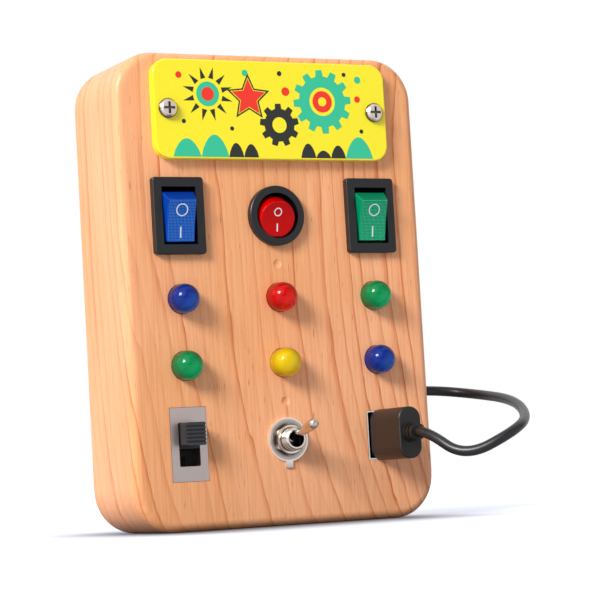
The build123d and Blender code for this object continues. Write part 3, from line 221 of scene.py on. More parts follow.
def bumpy(tree, shader, height, depth_mm):
    """Joins a height pattern to the shader's normal, with its depth in millimetres."""
    bump = add(tree, "ShaderNodeBump", {"Height": height, "Distance": depth_mm * MM, "Strength": 1.0})
    tree.links.new(bump, shader.inputs["Normal"])


# %% [markdown]
# ## Lacquered beech
#
# The block is sawn from one board of pale timber, so its growth rings run up the front as thin lines a
# few millimetres apart, and show as arcs on the end grain above and below. Rings are easiest to draw as
# what they are: the distance from the tree's middle, which stood far behind the board and to the left,
# bent a little by noise. The lines stand upright near the top and lean more towards the foot, as where a
# trunk widens, which the square of the height gives. Each year gets its own strength from white noise.
# Short dark pores and a fine fibre lie over them, and satin lacquer gives a soft, clear shine.

# %% The timber
heart_x, heart_y = -160.0, 140.0
straight_height, grain_lean = 100.0, -0.001
ring_spacing = 3.3
slow_bend, quick_bend = 11.0, 1.5
uneven_years, years_vary_per_mm = 2.4, 0.23
line_strength, least_strength = 1.5, 0.1
pore_depth = 0.015


def ring_distance(tree, across, behind, up):
    """How far a point is from the tree's middle, bent by noise, in millimetres."""
    aside = add(tree, "ShaderNodeMath", across, heart_x, operation="SUBTRACT")
    back = add(tree, "ShaderNodeMath", behind, heart_y, operation="SUBTRACT")
    spot = add(tree, "ShaderNodeCombineXYZ", aside, back)
    reach = add(tree, "ShaderNodeVectorMath", spot, operation="LENGTH", out="Value")
    below = add(tree, "ShaderNodeMath", up, straight_height, operation="SUBTRACT")
    below = add(tree, "ShaderNodeMath", below, below, operation="MULTIPLY")
    reach = add(tree, "ShaderNodeMath", below, grain_lean, reach, operation="MULTIPLY_ADD")
    slow = noise(tree, (0.028, 0.028, 0.008), 1.5)
    reach = add(tree, "ShaderNodeMath", slow, slow_bend, reach, operation="MULTIPLY_ADD")
    quick = noise(tree, (0.3, 0.3, 0.06), 2.0)
    return add(tree, "ShaderNodeMath", quick, quick_bend, reach, operation="MULTIPLY_ADD")


def ring_lines(tree, bent):
    """The colour that a year's growth lays over the ground, and how strong that year is."""
    along = add(tree, "ShaderNodeMath", bent, years_vary_per_mm, operation="MULTIPLY")
    uneven = add(tree, "ShaderNodeTexNoise", {"W": along, "Scale": 1.0}, noise_dimensions="1D")
    years = add(tree, "ShaderNodeMath", uneven, uneven_years, bent, operation="MULTIPLY_ADD")
    years = add(tree, "ShaderNodeMath", years, ring_spacing, operation="DIVIDE")
    season = add(tree, "ShaderNodeMath", years, operation="FRACT")
    line = shades(tree, season, (0.0, "#ffffff"), (0.7, "#fbf1e8"), (0.87, "#dfb694"), (0.915, "#c2854f"),
                  (0.96, "#ffffff"))
    one_year = add(tree, "ShaderNodeMath", years, operation="FLOOR")
    year = add(tree, "ShaderNodeTexWhiteNoise", {"W": one_year}, noise_dimensions="1D")
    strength = add(tree, "ShaderNodeMath", year, noise(tree, (0.3, 0.3, 0.03), 2.0), operation="MULTIPLY")
    strength = add(tree, "ShaderNodeMath", strength, line_strength, least_strength, operation="MULTIPLY_ADD")
    return line, strength


def beech_lacquered():
    """Pale timber with growth lines, fine fibre and short dark pores, under satin lacquer."""
    finish, tree, shader = new_finish("beech_lacquered", Roughness=0.42, Specular_IOR_Level=0.3,
                                      Coat_Weight=0.12, Coat_Roughness=0.25)
    place = add(tree, "ShaderNodeSeparateXYZ", in_mm(tree), out=None).outputs
    line, strength = ring_lines(tree, ring_distance(tree, place["X"], place["Y"], place["Z"]))
    ground = shades(tree, noise(tree, (0.03, 0.03, 0.012), 1.0), (0.35, "#eeaa76"), (0.65, "#f8b688"))
    fibre = shades(tree, noise(tree, (3.2, 3.2, 0.06), 2.0), (0.35, "#efdacc"), (0.6, "#ffffff"))
    pores = noise(tree, (3.0, 3.0, 0.22), 1.0)
    colour = tint(tree, 0.6, tint(tree, strength, ground, line), fibre)
    colour = tint(tree, 0.55, colour, shades(tree, pores, (0.7, "#ffffff"), (0.78, "#a9714f")))
    tree.links.new(colour, shader.inputs["Base Color"])
    bumpy(tree, shader, pores, pore_depth)
    return finish


print("rings", ring_spacing, "mm apart")

# %% [markdown]
# ## Moulded plastics
#
# The switches are injection moulded. Black ABS has a fine satin skin, the caps are a clear coloured
# polycarbonate that light enters a little, and the LEDs' lenses are cast epoxy, glossy and deeply
# coloured. Where the eye looks along the surface it sees through more of the plastic, so the rims of the
# caps and lenses are darker than their middles. Real glass nodes would do this too, but slowly and with
# noise; a colour that changes with the angle is enough for such dense plastic.

# %% Plastics
# The side of a lens, low on the right, where its gathered light is painted as a glow.
far_side = Vector((0.62, -0.42, -0.66)).normalized()


def moulded(name, colour, roughness, depth_mm=0.006, grain_mm=0.12, **more):
    """Moulded plastic: one colour with a fine, even skin."""
    finish, tree, shader = new_finish(name, Base_Color=linear(colour), Roughness=roughness, **more)
    bumpy(tree, shader, noise(tree, (1 / grain_mm, 1 / grain_mm, 1 / grain_mm)), depth_mm)
    return finish


def deep(name, middle_colour, rim_colour, roughness, depth, gathered=None, **more):
    """Clear coloured plastic: light goes in by so many millimetres, and the rims are darker.

    A lens gathers the lamp's light on its far side, low on the right; that glow is painted in its lighter colour.
    """
    finish, tree, shader = new_finish(name, Roughness=roughness, Subsurface_Radius=(depth, depth, depth),
                                      Subsurface_Scale=MM, Specular_IOR_Level=0.12, **more)
    facing = add(tree, "ShaderNodeLayerWeight", {"Blend": 0.35}, out="Facing")
    colour = shades(tree, facing, (0.1, middle_colour), (0.85, rim_colour))
    if gathered:
        surface = add(tree, "ShaderNodeNewGeometry", out="Normal")
        side = add(tree, "ShaderNodeVectorMath", surface, far_side, operation="DOT_PRODUCT", out="Value")
        glow = add(tree, "ShaderNodeMapRange", side, 0.1, 1.0, interpolation_type="SMOOTHSTEP")
        layers = {0: glow, 6: colour, 7: linear(gathered)}
        colour = add(tree, "ShaderNodeMix", layers, out=2, data_type="RGBA")
    tree.links.new(colour, shader.inputs["Base Color"])
    bumpy(tree, shader, noise(tree, (1.5, 1.5, 1.5)), 0.002)
    return finish


def polycarbonate(name, middle_colour, rim_colour):
    """A switch's cap: clear coloured plastic with a satin surface."""
    return deep(name, middle_colour, rim_colour, 0.3, 0.6, Subsurface_Weight=0.1, Coat_Weight=0.05,
                Coat_Roughness=0.1)


def epoxy_lens(name, middle_colour, rim_colour, gathered):
    """An LED's lens: glossier and deeper than a cap, with its gathered light painted as a glow on its far side."""
    return deep(name, middle_colour, rim_colour, 0.12, 1.2, gathered, Subsurface_Weight=0.1, Coat_Weight=0.22,
                Coat_Roughness=0.05)


plastics = {
    "yellow": moulded("acrylic_yellow", "#f7e604", 0.14, 0.001, 0.6, Coat_Weight=0.6, Coat_Roughness=0.06),
    "black": moulded("abs_black", "#0f1013", 0.33),
    "blue": polycarbonate("polycarbonate_blue", "#003fa0", "#041660"),
    "red": polycarbonate("polycarbonate_red", "#c40200", "#7c0000"),
    "green": polycarbonate("polycarbonate_green", "#00885c", "#004a30"),
    "led_blue": epoxy_lens("epoxy_blue", "#08267a", "#060c40", "#255ab8"),
    "led_red": epoxy_lens("epoxy_red", "#b80200", "#6a0000", "#ff2a12"),
    "led_green": epoxy_lens("epoxy_green", "#007a40", "#003318", "#08c070"),
    "led_yellow": epoxy_lens("epoxy_yellow", "#cdae00", "#8c6400", "#ffd024"),
    "board_green": moulded("board_enamel_green", "#0d4a26", 0.3),
    "cream": moulded("resistor_enamel_cream", "#d8c79a", 0.35),
    "white": moulded("nylon_white", "#e8e6e0", 0.4),
    "grey": moulded("phenolic_black", "#17130f", 0.5),
    "cord": moulded("pvc_black", "#141317", 0.34),
    "wire": moulded("pvc_red", "#a31109", 0.35),
}
print("plastics and enamels", len(plastics))

# %% [markdown]
# ## Metals
#
# Nickel plate is bright and slightly warm, zinc-plated steel is duller, and the slide switch's frame is
# brushed. A metal's colour is its reflection, so these only set the tint, the roughness and fine marks.

# %% Metals
def metal(name, colour, roughness, brushed=None):
    """A metal, with brush marks along one axis if the scale of the marks is given."""
    finish, tree, shader = new_finish(name, Base_Color=linear(colour), Metallic=1.0, Roughness=roughness)
    marks = noise(tree, brushed or (3, 3, 3), 3.0)
    rough = add(tree, "ShaderNodeMapRange", marks, 0.3, 0.7, roughness * 0.8, roughness * 1.35)
    tree.links.new(rough, shader.inputs["Roughness"])
    if brushed:
        bumpy(tree, shader, marks, 0.004)
    return finish


metals = {
    "steel": metal("zinc_plated_steel", "#c9c6c0", 0.3),
    "nickel": metal("nickel_plate", "#d9cfc3", 0.12),
    "copper": metal("tinned_copper", "#c8bba8", 0.3),
}
print("metals", len(metals))

# %% [markdown]
# ## Plywood and cells
#
# The rear panel is birch plywood: a pale, nearly plain veneer with a faint figure that runs up the board.
# The cells wear a printed shrink sleeve whose ends are bare metal, which a ramp along the cell's length
# draws.

# %% Sheet timber and sleeves
def birch_plywood():
    """Sanded birch veneer with a faint figure and short fibre, without any lacquer."""
    finish, tree, shader = new_finish("birch_plywood", Roughness=0.6)
    figure = shades(tree, noise(tree, (0.35, 0.35, 0.015), 3.0), (0.3, "#d6ae7c"), (0.7, "#e6c79b"))
    fibre = shades(tree, noise(tree, (2.5, 2.5, 0.08)), (0.35, "#dcc4a8"), (0.6, "#ffffff"))
    tree.links.new(tint(tree, 0.6, figure, fibre), shader.inputs["Base Color"])
    bumpy(tree, shader, noise(tree, (2.5, 2.5, 0.08)), 0.03)
    return finish


half_cell, bare_from = 22.5, 0.935


def cell_sleeve():
    """A dark sleeve with a coppery band, then bare metal at both ends of the cell."""
    finish, tree, shader = new_finish("cell_shrink_sleeve", Roughness=0.25, Coat_Weight=0.3)
    across = add(tree, "ShaderNodeSeparateXYZ", in_mm(tree), out="X")
    along = add(tree, "ShaderNodeMath", across, operation="ABSOLUTE")
    along = add(tree, "ShaderNodeMath", along, half_cell, operation="DIVIDE")
    band = shades(tree, along, (0.0, "#20242c"), (0.62, "#20242c"), (0.63, "#b9742f"), (0.93, "#b9742f"),
                  (0.94, "#c9c8c4"))
    worn = shades(tree, noise(tree, (0.8, 0.8, 0.8), 3.0), (0.3, "#d8d8d8"), (0.6, "#ffffff"))
    tree.links.new(tint(tree, 0.5, band, worn), shader.inputs["Base Color"])
    bare = add(tree, "ShaderNodeMath", along, bare_from, operation="GREATER_THAN")
    tree.links.new(bare, shader.inputs["Metallic"])
    return finish


print("bare metal beyond", round(bare_from * half_cell, 1), "mm from a cell's middle")

# %% Every finish by its slot
finishes = {
    "beech": beech_lacquered(),
    "plywood": birch_plywood(),
    **plastics,
    **metals,
}
for part in frame["record"]["subparts"]:
    nodes[part["node"]].data.materials.clear()
    nodes[part["node"]].data.materials.append(finishes[part["material_slot"]])
print("slots", len(finishes))

# %% [markdown]
# ## Parts with a finish of their own
#
# Some parts wear painted light and shade over their slot's finish. The socket's folded lip is painted pale as a
# highlight and the steel inside it dark as shade. The knob's ridge tops are painted lighter as a highlight, and
# the bottoms of its grooves and of the screws' cross slots dark as shade. The toggle switch's nut, washer and
# bushing carry painted rings of highlight and shade about its axis. All three follow from a distance that can
# be measured on the part: its depth, or the radius from its axis. A colour ramp over that distance, in
# millimetres, draws them, so no part has to be painted by hand. The slide switch's contacts, deep in its slot,
# are painted near black as shade.

# %% Colour by depth and by radius
def dressed(node, finish):
    """Gives one CAD node a finish of its own."""
    nodes[node].data.materials[0] = finish


def over_distance(tree, distance, stops, span):
    """A colour ramp over a distance, up to a span in millimetres."""
    share = add(tree, "ShaderNodeMath", distance, span, operation="DIVIDE")
    return shades(tree, share, *[(at / span, shade) for at, shade in stops])


def depth_behind(tree, front):
    """How far a point lies behind a place on the Y axis, in millimetres."""
    behind = add(tree, "ShaderNodeSeparateXYZ", in_mm(tree), out="Y")
    return add(tree, "ShaderNodeMath", behind, front / MM, operation="SUBTRACT")


lip_depth = 0.48


def socket_steel():
    """Tin-plated steel, painted pale at the folded lip as a highlight and painted dark down inside the socket as
    shade.
    """
    finish, tree, shader = new_finish("socket_steel", Roughness=0.35)
    inside = depth_behind(tree, front_y)
    # Painted light by depth: a pale highlight at the lip, then painted shade further into the socket.
    dark = over_distance(tree, inside, ((0.3, "#f4eee6"), (0.54, "#241f1c")), span=1.2)
    patches = shades(tree, noise(tree, (2, 2, 2)), (0.3, "#c0c0c0"), (0.6, "#ffffff"))
    tree.links.new(tint(tree, 0.4, dark, patches), shader.inputs["Base Color"])
    # Within the lip the steel is pale and not metallic, as a painted highlight.
    past_lip = add(tree, "ShaderNodeMath", inside, lip_depth, operation="GREATER_THAN")
    tree.links.new(past_lip, shader.inputs["Metallic"])
    return finish


def metal_painted_by_radius(name, roughness, *stops):
    """A metal painted with rings of highlight and shade: its tint changes with the distance from the toggle
    switch's axis.
    """
    finish, tree, shader = new_finish(name, Metallic=1.0, Roughness=roughness)
    spot = add(tree, "ShaderNodeVectorMath", in_mm(tree), middle("toggle_bushing"), operation="SUBTRACT")
    spot = add(tree, "ShaderNodeVectorMath", spot, (1, 0, 1), operation="MULTIPLY")
    radius = add(tree, "ShaderNodeVectorMath", spot, operation="LENGTH", out="Value")
    tree.links.new(over_distance(tree, radius, stops, span=8.0), shader.inputs["Base Color"])
    return finish


def depth_shaded(name, node, stops, **sockets):
    """A finish whose colour changes with the depth below the node's foremost point."""
    finish, tree, shader = new_finish(name, **sockets)
    sunk = depth_behind(tree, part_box(node)[0].y)
    tree.links.new(over_distance(tree, sunk, stops, span=4.0), shader.inputs["Base Color"])
    return finish


# %% Dressing them
dressed("usb_socket_shell", socket_steel())
dressed("battery_cells", cell_sleeve())
dressed("slide_switch_frame", metal("brushed_steel", "#cdbfb8", 0.34, (8.0, 8.0, 0.3)))
dressed("usb_plug_grip", moulded("pvc_satin_black", "#16120f", 0.42, 0.012, 0.2))
# The slide switch's contacts sit deep in its slot and are painted near black as shade.
contacts_in_painted_shade = metal("tarnished_silver", "#2c2825", 0.5)
for node in ("slide_switch_wiper", "slide_switch_terminals"):
    dressed(node, contacts_in_painted_shade)
# The knob's ridge tops are painted lighter as a highlight, and the bottoms of its grooves are painted near black
# as shade.
dressed("slide_switch_knob", depth_shaded("abs_black_ribbed", "slide_switch_knob", (
    (0.0, "#2c2d32"), (0.1, "#1c1d20"), (0.4, "#020203"), (0.55, "#101013")), Roughness=0.36))
# The screw heads are painted brightest on the crown as a highlight and dark down in the cross slots as shade.
dressed("name_plate_screws", depth_shaded("nickel_plate_worn", "name_plate_screws", (
    (0.0, "#efe4da"), (0.45, "#d2c3b6"), (0.75, "#2f2520"), (1.0, "#6f6258"), (1.4, "#a09488")),
    Metallic=1.0, Roughness=0.2))
# Painted rings of light and shade: dark as shade in the bores and under the nut's edge, bright as highlights on
# chamfers and rims.
dressed("toggle_nut", metal_painted_by_radius(
    "nickel_plate_machined", 0.2, (3.1, "#2e2520"), (3.4, "#b8aa9c"), (3.6, "#fffaf2"), (3.9, "#e6dbd0"),
    (4.1, "#8a7c70"), (4.4, "#f4ebe0")))
dressed("toggle_lock_washer", metal_painted_by_radius(
    "nickel_plate_dull", 0.3, (4.1, "#4a3f38"), (4.8, "#b3a79c"), (5.5, "#cfc3b8"), (5.75, "#fff8f0"),
    (7.5, "#d8ccc2")))
dressed("toggle_bushing", metal_painted_by_radius(
    "nickel_plate_turned", 0.16, (2.1, "#2a201b"), (2.25, "#7d6a5c"), (2.3, "#f6eee4"), (2.95, "#e8ded2")))
print("finishes", len(bpy.data.materials))

# %% [markdown]
# ## The tether
#
# The cord is a soft black PVC lead, 2.8 mm thick, which leaves the right side, swings forward in one loose
# loop and goes into the plug. A NURBS spline of a few control points makes such a line smooth without any
# kinks. The tube is made a mesh.

# %% The cord
cord_radius = 1.4
cord_route = (
    (45.75, 0.0, 35.9),
    (54.7, 0.0, 35.9),
    (65.3, -8.0, 34.0),
    (64.5, -30.2, 31.2),
    (57.8, -47.4, 26.1),
    (46.7, -58.6, 22.1),
    (34.4, -51.9, 15.5),
    (29.1, -41.5, 23.4),
    (29.1, -36.95, 23.4),
)


def spline_object(name, points, radius):
    """A round tube on a smooth spline with these control points, in millimetres."""
    curve = bpy.data.curves.new(name, "CURVE")
    curve.dimensions = "3D"
    spline = curve.splines.new("NURBS")
    spline.points.add(len(points) - 1)
    for target, point in zip(spline.points, points):
        target.co = (*[v * MM for v in point], 1.0)
    spline.order_u = 3
    spline.use_endpoint_u = True
    spline.resolution_u = 14
    curve.bevel_depth = radius * MM
    curve.bevel_resolution = 7
    curve.use_fill_caps = True
    return new_object(name, curve)


line = as_mesh(spline_object("cord_line", cord_route, 0), "cord_line_points")
bpy.data.objects.remove(line)
tether = as_mesh(spline_object("cord_tube", cord_route, cord_radius), "tether_cord")
tether.data.shade_smooth()
tether.data.materials.clear()
tether.data.materials.append(finishes["cord"])
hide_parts("usb_cord")
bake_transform(tether)

# %% [markdown]
# ## Growing pieces by rule
#
# Rows of dots and a screw's thread follow a rule, so geometry nodes make them: a small tree with named
# inputs for its sizes. One function starts a tree with its inputs, another runs it and keeps the result
# as a plain mesh, which is what an export can carry.

# %% Trees with named inputs
def new_tree(name, **sizes):
    """A geometry tree with one named number input for each size, and the group's input node."""
    tree = bpy.data.node_groups.new(name, "GeometryNodeTree")
    tree.interface.new_socket("Geometry", in_out="OUTPUT", socket_type="NodeSocketGeometry")
    for label, value in sizes.items():
        kind = "NodeSocketInt" if isinstance(value, int) else "NodeSocketFloat"
        socket = tree.interface.new_socket(label.replace("_", " "), in_out="INPUT", socket_type=kind)
        socket.default_value = value
    return tree, add(tree, "NodeGroupInput", out=None).outputs


def end_tree(tree, geometry, finish):
    """Ends a tree: real meshes instead of instances, and the finish set."""
    real = add(tree, "GeometryNodeRealizeInstances", geometry)
    coated = add(tree, "GeometryNodeSetMaterial", {"Geometry": real, "Material": finish})
    add(tree, "NodeGroupOutput", coated, out=None)


def grown(name, tree, **sizes):
    """Runs a tree with these sizes and returns the result as a plain mesh object."""
    source = new_object(name + "_rule", bpy.data.meshes.new(name + "_rule"))
    rule = source.modifiers.new("rule", "NODES")
    rule.node_group = tree
    for item in tree.interface.items_tree:
        if item.in_out == "INPUT" and item.name.replace(" ", "_") in sizes:
            rule[item.identifier] = sizes[item.name.replace(" ", "_")]
    return as_mesh(source, name)


def placed(piece, matrix, body):
    """Stands a bench drawing in the model and lets it ride on a body."""
    piece.data.transform(matrix)
    piece.data.update()
    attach(piece, body)
    return piece


# %% [markdown]
# ## The bushing's thread
#
# The toggle switch hangs in the wood by a threaded bushing, M6 with a fine pitch, and its nut clamps the
# washer. The CAD bushing is plain. A spiral with a thin six-sided profile, run around it, gives the ridges.

# %% A thread
thread_tree, given = new_tree("thread_rule", Radius=3.0, Pitch=0.62, Turns=4.0, Ridge=0.24)
rise = add(thread_tree, "ShaderNodeMath", given["Pitch"], given["Turns"], operation="MULTIPLY")
spiral = add(thread_tree, "GeometryNodeCurveSpiral", {
    "Resolution": 48, "Rotations": given["Turns"], "Start Radius": given["Radius"],
    "End Radius": given["Radius"], "Height": rise})
ridge = add(thread_tree, "GeometryNodeCurvePrimitiveCircle", {"Resolution": 6, "Radius": given["Ridge"]})
wound = add(thread_tree, "GeometryNodeCurveToMesh", {
    "Curve": spiral, "Profile Curve": ridge, "Fill Caps": True})
end_tree(thread_tree, wound, finishes["nickel"])

thread_start = 0.1
toggle_place = middle("toggle_bushing")
nut_top = (front_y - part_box("toggle_nut")[0].y) / MM
thread = grown("bushing_thread", thread_tree, Radius=3.0, Pitch=0.62, Turns=4.0, Ridge=0.24)
placed(thread, on_front(toggle_place.x, toggle_place.z, nut_top + thread_start), "board")
print("thread", len(thread.data.polygons), "faces, from", round(nut_top, 2), "mm")

# %% [markdown]
# ## The caps' dots and marks
#
# Each square cap has a fine grid of moulded dots, which scatter the light in clear plastic, and two
# printed marks: a ring for off and a bar for on. The grid is a rule: points on a flat grid are lifted
# onto the cap's dished face, and a low dome stands on each. The marks are thin rings and bars bent to the
# same dish. All of them are drawn in the cap's own plane and then leaned with it.

# %% Frames of the caps
cap_lean = 15.0
hinges = {j["name"]: Vector(j["pos_m"]) / MM for j in frame["joints"] if "pos_m" in j}
square_rise, square_half, round_rise, round_half, dish = 6.2, 5.7, 4.6, 4.9, 0.45


def cap_frame(body):
    """The matrix of a cap's own plane: right, up along the cap and out of it, from its hinge."""
    hinge = hinges[body + "_tilt"]
    return on_front(hinge.x, hinge.z, front_y / MM - hinge.y, cap_lean)


def face_level(y, rise, half):
    """How far out of the hinge the cap's dished face is, at this height on it."""
    return rise - dish * (1 - (y / half) ** 2)


print("hinges", {name: [round(v, 1) for v in place] for name, place in hinges.items()})

# %% The grid of dots
def dot_rule(finish):
    """A tree that lifts a flat grid onto a cap's dished face and stands a low dome on each point."""
    tree, given = new_tree("dot_rule", Width=7.4, Height=11.0, Columns=19, Rows=28, Radius=0.12,
                           Depth=0.06, Rise=square_rise, Half=square_half, Dish=dish)
    grid = add(tree, "GeometryNodeMeshGrid", {
        "Size X": given["Width"], "Size Y": given["Height"],
        "Vertices X": given["Columns"], "Vertices Y": given["Rows"]})
    height = add(tree, "ShaderNodeSeparateXYZ", add(tree, "GeometryNodeInputPosition"), out="Y")
    share = add(tree, "ShaderNodeMath", height, given["Half"], operation="DIVIDE")
    share = add(tree, "ShaderNodeMath", share, operation="ABSOLUTE")
    share = add(tree, "ShaderNodeMath", share, 2.0, operation="POWER")
    share = add(tree, "ShaderNodeMath", 1.0, share, operation="SUBTRACT")
    sag = add(tree, "ShaderNodeMath", share, given["Dish"], operation="MULTIPLY")
    lift = add(tree, "ShaderNodeMath", given["Rise"], sag, operation="SUBTRACT")
    lift = add(tree, "ShaderNodeCombineXYZ", {"Z": lift})
    dished = add(tree, "GeometryNodeSetPosition", {"Geometry": grid, "Offset": lift})
    top = add(tree, "ShaderNodeMath", given["Radius"], 0.5, operation="MULTIPLY")
    dome = add(tree, "GeometryNodeMeshCone", {
        "Vertices": 6, "Side Segments": 1, "Radius Top": top, "Radius Bottom": given["Radius"],
        "Depth": given["Depth"]})
    dots = add(tree, "GeometryNodeInstanceOnPoints", {"Points": dished, "Instance": dome})
    end_tree(tree, dots, finish)
    return tree


# The dots are a paler, matt version of the cap's colour: a painted sheen for the light they scatter.
dotted = {
    "left_rocker": ("blue", moulded("polycarbonate_blue_dots", "#3f92e0", 0.6)),
    "right_rocker": ("green", moulded("polycarbonate_green_dots", "#3fcb98", 0.6)),
}
mark_white = moulded("pad_printed_white", "#dfe6ea", 0.5)
for body, (slot, finish) in dotted.items():
    piece = grown(body + "_dots", dot_rule(finish), Columns=19, Rows=28)
    placed(piece, cap_frame(body), body)
    print(piece.name, len(piece.data.polygons), "faces")


# %% The ring and the bar
def bent_strip(loops, rise, half, thick=0.05):
    """Points and faces of a thin closed band between two flat loops of points, bent to the cap's face."""
    outer, inner = loops
    count = len(outer)
    points = []
    for lift_by in (-thick, thick):
        points += [(x, y, face_level(y, rise, half) + lift_by) for x, y in (*outer, *inner)]
    faces = []
    for i in range(count):
        j = (i + 1) % count
        for a, b in ((0, 2 * count), (count, 3 * count)):
            faces.append((a + i, a + j, b + j, b + i))
        faces.append((i, j, count + j, count + i))
        faces.append((2 * count + i, 2 * count + j, 3 * count + j, 3 * count + i))
    return points, faces


def ring_loops(x, y, radius, stroke, count=40):
    """A ring as its outer and its inner circle."""
    angles = [2 * math.pi * i / count for i in range(count)]
    return [[(x + r * math.cos(a), y + r * math.sin(a)) for a in angles] for r in (radius, radius - stroke)]


def bar_loops(x, y, length, width):
    """A bar as two nested outlines with steps along them, so that it bends with the face."""
    steps = 12
    up = [y - length / 2 + length * i / steps for i in range(steps + 1)]
    outline = [(x + width / 2, v) for v in up] + [(x - width / 2, v) for v in reversed(up)]
    spine = [(x, v) for v in up] + [(x, v) for v in reversed(up)]
    return [outline, spine]


marks = {
    "left_rocker": (square_rise, square_half, (0.0, 2.9, 1.75), (-0.1, -3.2, 3.0)),
    "right_rocker": (square_rise, square_half, (0.0, 2.9, 1.75), (-0.1, -3.2, 3.0)),
    "round_rocker": (round_rise, round_half, (-0.1, 2.0, 1.2), (-0.1, -2.3, 2.2)),
}
for body, (rise, half, ring, bar) in marks.items():
    for label, loops in (("off_ring", ring_loops(*ring, 0.3)), ("on_bar", bar_loops(*bar, 0.36))):
        points, faces = bent_strip(loops, rise, half)
        piece = new_mesh(body + "_" + label, points, faces)
        piece.data.materials.append(mark_white)
        placed(piece, cap_frame(body), body)
print("marks on", len(marks), "caps")

# %% [markdown]
# ## The plate's print
#
# The yellow plate is acrylic, screen printed with plain shapes: gears, a star, a sun and a row of round
# hills. A filled flat curve with a hair of thickness is the simplest way to draw print, holes included,
# and each colour is one mesh. The layers differ in height by a few hundredths of a millimetre, as layers
# of ink do.

# %% Drawing flat shapes
def circle(x, y, radius, count=48):
    """A round dot, or a round hole where it lies inside another outline."""
    return [(x + radius * math.cos(2 * math.pi * i / count), y + radius * math.sin(2 * math.pi * i / count))
            for i in range(count)]


def star(x, y, outer, inner, tips, turn=90.0):
    """A star's outline: its tips lie on one circle and its notches on a smaller one."""
    points = []
    for i in range(2 * tips):
        radius = inner if i % 2 else outer
        angle = math.radians(turn) + math.pi * i / tips
        points.append((x + radius * math.cos(angle), y + radius * math.sin(angle)))
    return points


def gear(x, y, outer, root, teeth, turn=0.0):
    """A gear's outline: each tooth is a little narrower at its top."""
    points = []
    for i in range(teeth):
        for share, radius in ((-0.31, root), (-0.2, outer), (0.2, outer), (0.31, root)):
            angle = math.radians(turn) + 2 * math.pi * (i + share) / teeth
            points.append((x + radius * math.cos(angle), y + radius * math.sin(angle)))
    return points


def ray(x, y, inner, outer, width, angle):
    """One tapered ray of a sun."""
    c, s = math.cos(math.radians(angle)), math.sin(math.radians(angle))
    corners = ((inner, -width / 2), (outer, 0.0), (inner, width / 2))
    return [(x + c * a - s * b, y + s * a + c * b) for a, b in corners]


def hills(left, right, base, humps, height, lean=0.0):
    """A row of round hills of differing height along a base line."""
    points = [(right, base), (left, base)]
    step = (right - left) / humps
    for k in range(humps):
        tall = height * (0.75 + 0.25 * math.sin(2.4 * k + lean))
        for i in range(1, 13):
            share = i / 12
            rise = tall * math.sin(math.pi * share) ** 0.7 * 0.9 + 0.02
            points.append((left + (k + share) * step, base + rise))
    return points


def printed(name, outlines, finish, thickness, place):
    """Filled flat outlines as one thin mesh; an outline inside another is a hole."""
    curve = bpy.data.curves.new(name, "CURVE")
    curve.dimensions = "2D"
    curve.fill_mode = "BOTH"
    curve.extrude = thickness
    for outline in outlines:
        spline = curve.splines.new("POLY")
        spline.points.add(len(outline) - 1)
        for target, (x, y) in zip(spline.points, outline):
            target.co = (x, y, 0.0, 1.0)
        spline.use_cyclic_u = True
    piece = as_mesh(new_object(name + "_curve", curve), name)
    piece.data.materials.clear()
    piece.data.materials.append(finish)
    return placed(piece, place, "board")


# %% The shapes on the plate
plate_place = middle("name_plate")
plate_face = (front_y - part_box("name_plate")[0].y) / MM
on_plate = on_front(plate_place.x, plate_place.z, plate_face)
ink = {
    "teal": moulded("screen_ink_teal", "#2fbe90", 0.3, 0.002, 0.3),
    "black": moulded("screen_ink_black", "#20231d", 0.3, 0.002, 0.3),
    "red": moulded("screen_ink_red", "#ee2f1d", 0.3, 0.002, 0.3),
}
base = -13.1
teal_shapes = [
    gear(15.5, 2.8, 9.0, 7.2, 12, 4.0), circle(15.5, 2.8, 4.0),
    circle(-19.5, 4.2, 3.4),
    hills(-30.6, -14.0, base, 2, 7.4), hills(22.0, 30.6, base, 1, 7.0, 1.0),
    circle(27.0, 9.2, 1.0), circle(-8.0, 10.3, 0.9),
]
black_shapes = [
    gear(1.8, -4.0, 6.0, 4.6, 9, 12.0), circle(1.8, -4.0, 2.2),
    hills(-14.0, -5.0, base, 2, 5.0, 0.5), hills(8.0, 22.0, base, 3, 4.6, 2.0),
    star(-7.2, 3.4, 6.8, 3.2, 5), star(-7.2, 3.4, 5.8, 2.75, 5),
    circle(-27.0, -3.4, 0.6), circle(22.8, 10.6, 0.6), circle(-12.7, -5.2, 0.6), circle(27.4, -5.4, 0.6),
    circle(2.6, 10.4, 0.7),
]
black_shapes += [ray(-19.5, 4.2, 4.4, 7.6, 1.5, 30.0 * k + 15.0) for k in range(12)]
red_shapes = [
    star(-7.2, 3.4, 5.3, 2.5, 5), circle(15.5, 2.8, 3.0), circle(15.5, 2.8, 1.3),
    circle(-19.5, 4.2, 1.9), circle(4.2, 5.4, 1.2), circle(26.6, 3.7, 0.9), circle(-27.9, 9.3, 0.9),
]
printed("print_teal", teal_shapes, ink["teal"], 0.03, on_plate)
printed("print_black", black_shapes, ink["black"], 0.035, on_plate)
printed("print_red", red_shapes, ink["red"], 0.045, on_plate)
print("print on a plate face", round(plate_face, 2), "mm out")

# %% [markdown]
# ## Light and room
#
# A big soft lamp stands high on the far left, as in a small product studio, and an even white room fills
# the shadows. Metal needs something dark to reflect as well, so the room that mirrors see is bright only
# behind the board, in front of it on the right, and around the lamp.

# %% The lamp
def soft_lamp(name, place, target, size, watts):
    """A square softbox at a place in metres, turned to its target."""
    data = bpy.data.lights.new(name, "AREA")
    data.size = size
    data.energy = watts
    made = new_object(name, data)
    made.location = place
    made.rotation_euler = (Vector(target) - Vector(place)).to_track_quat("-Z", "Y").to_euler()
    return made


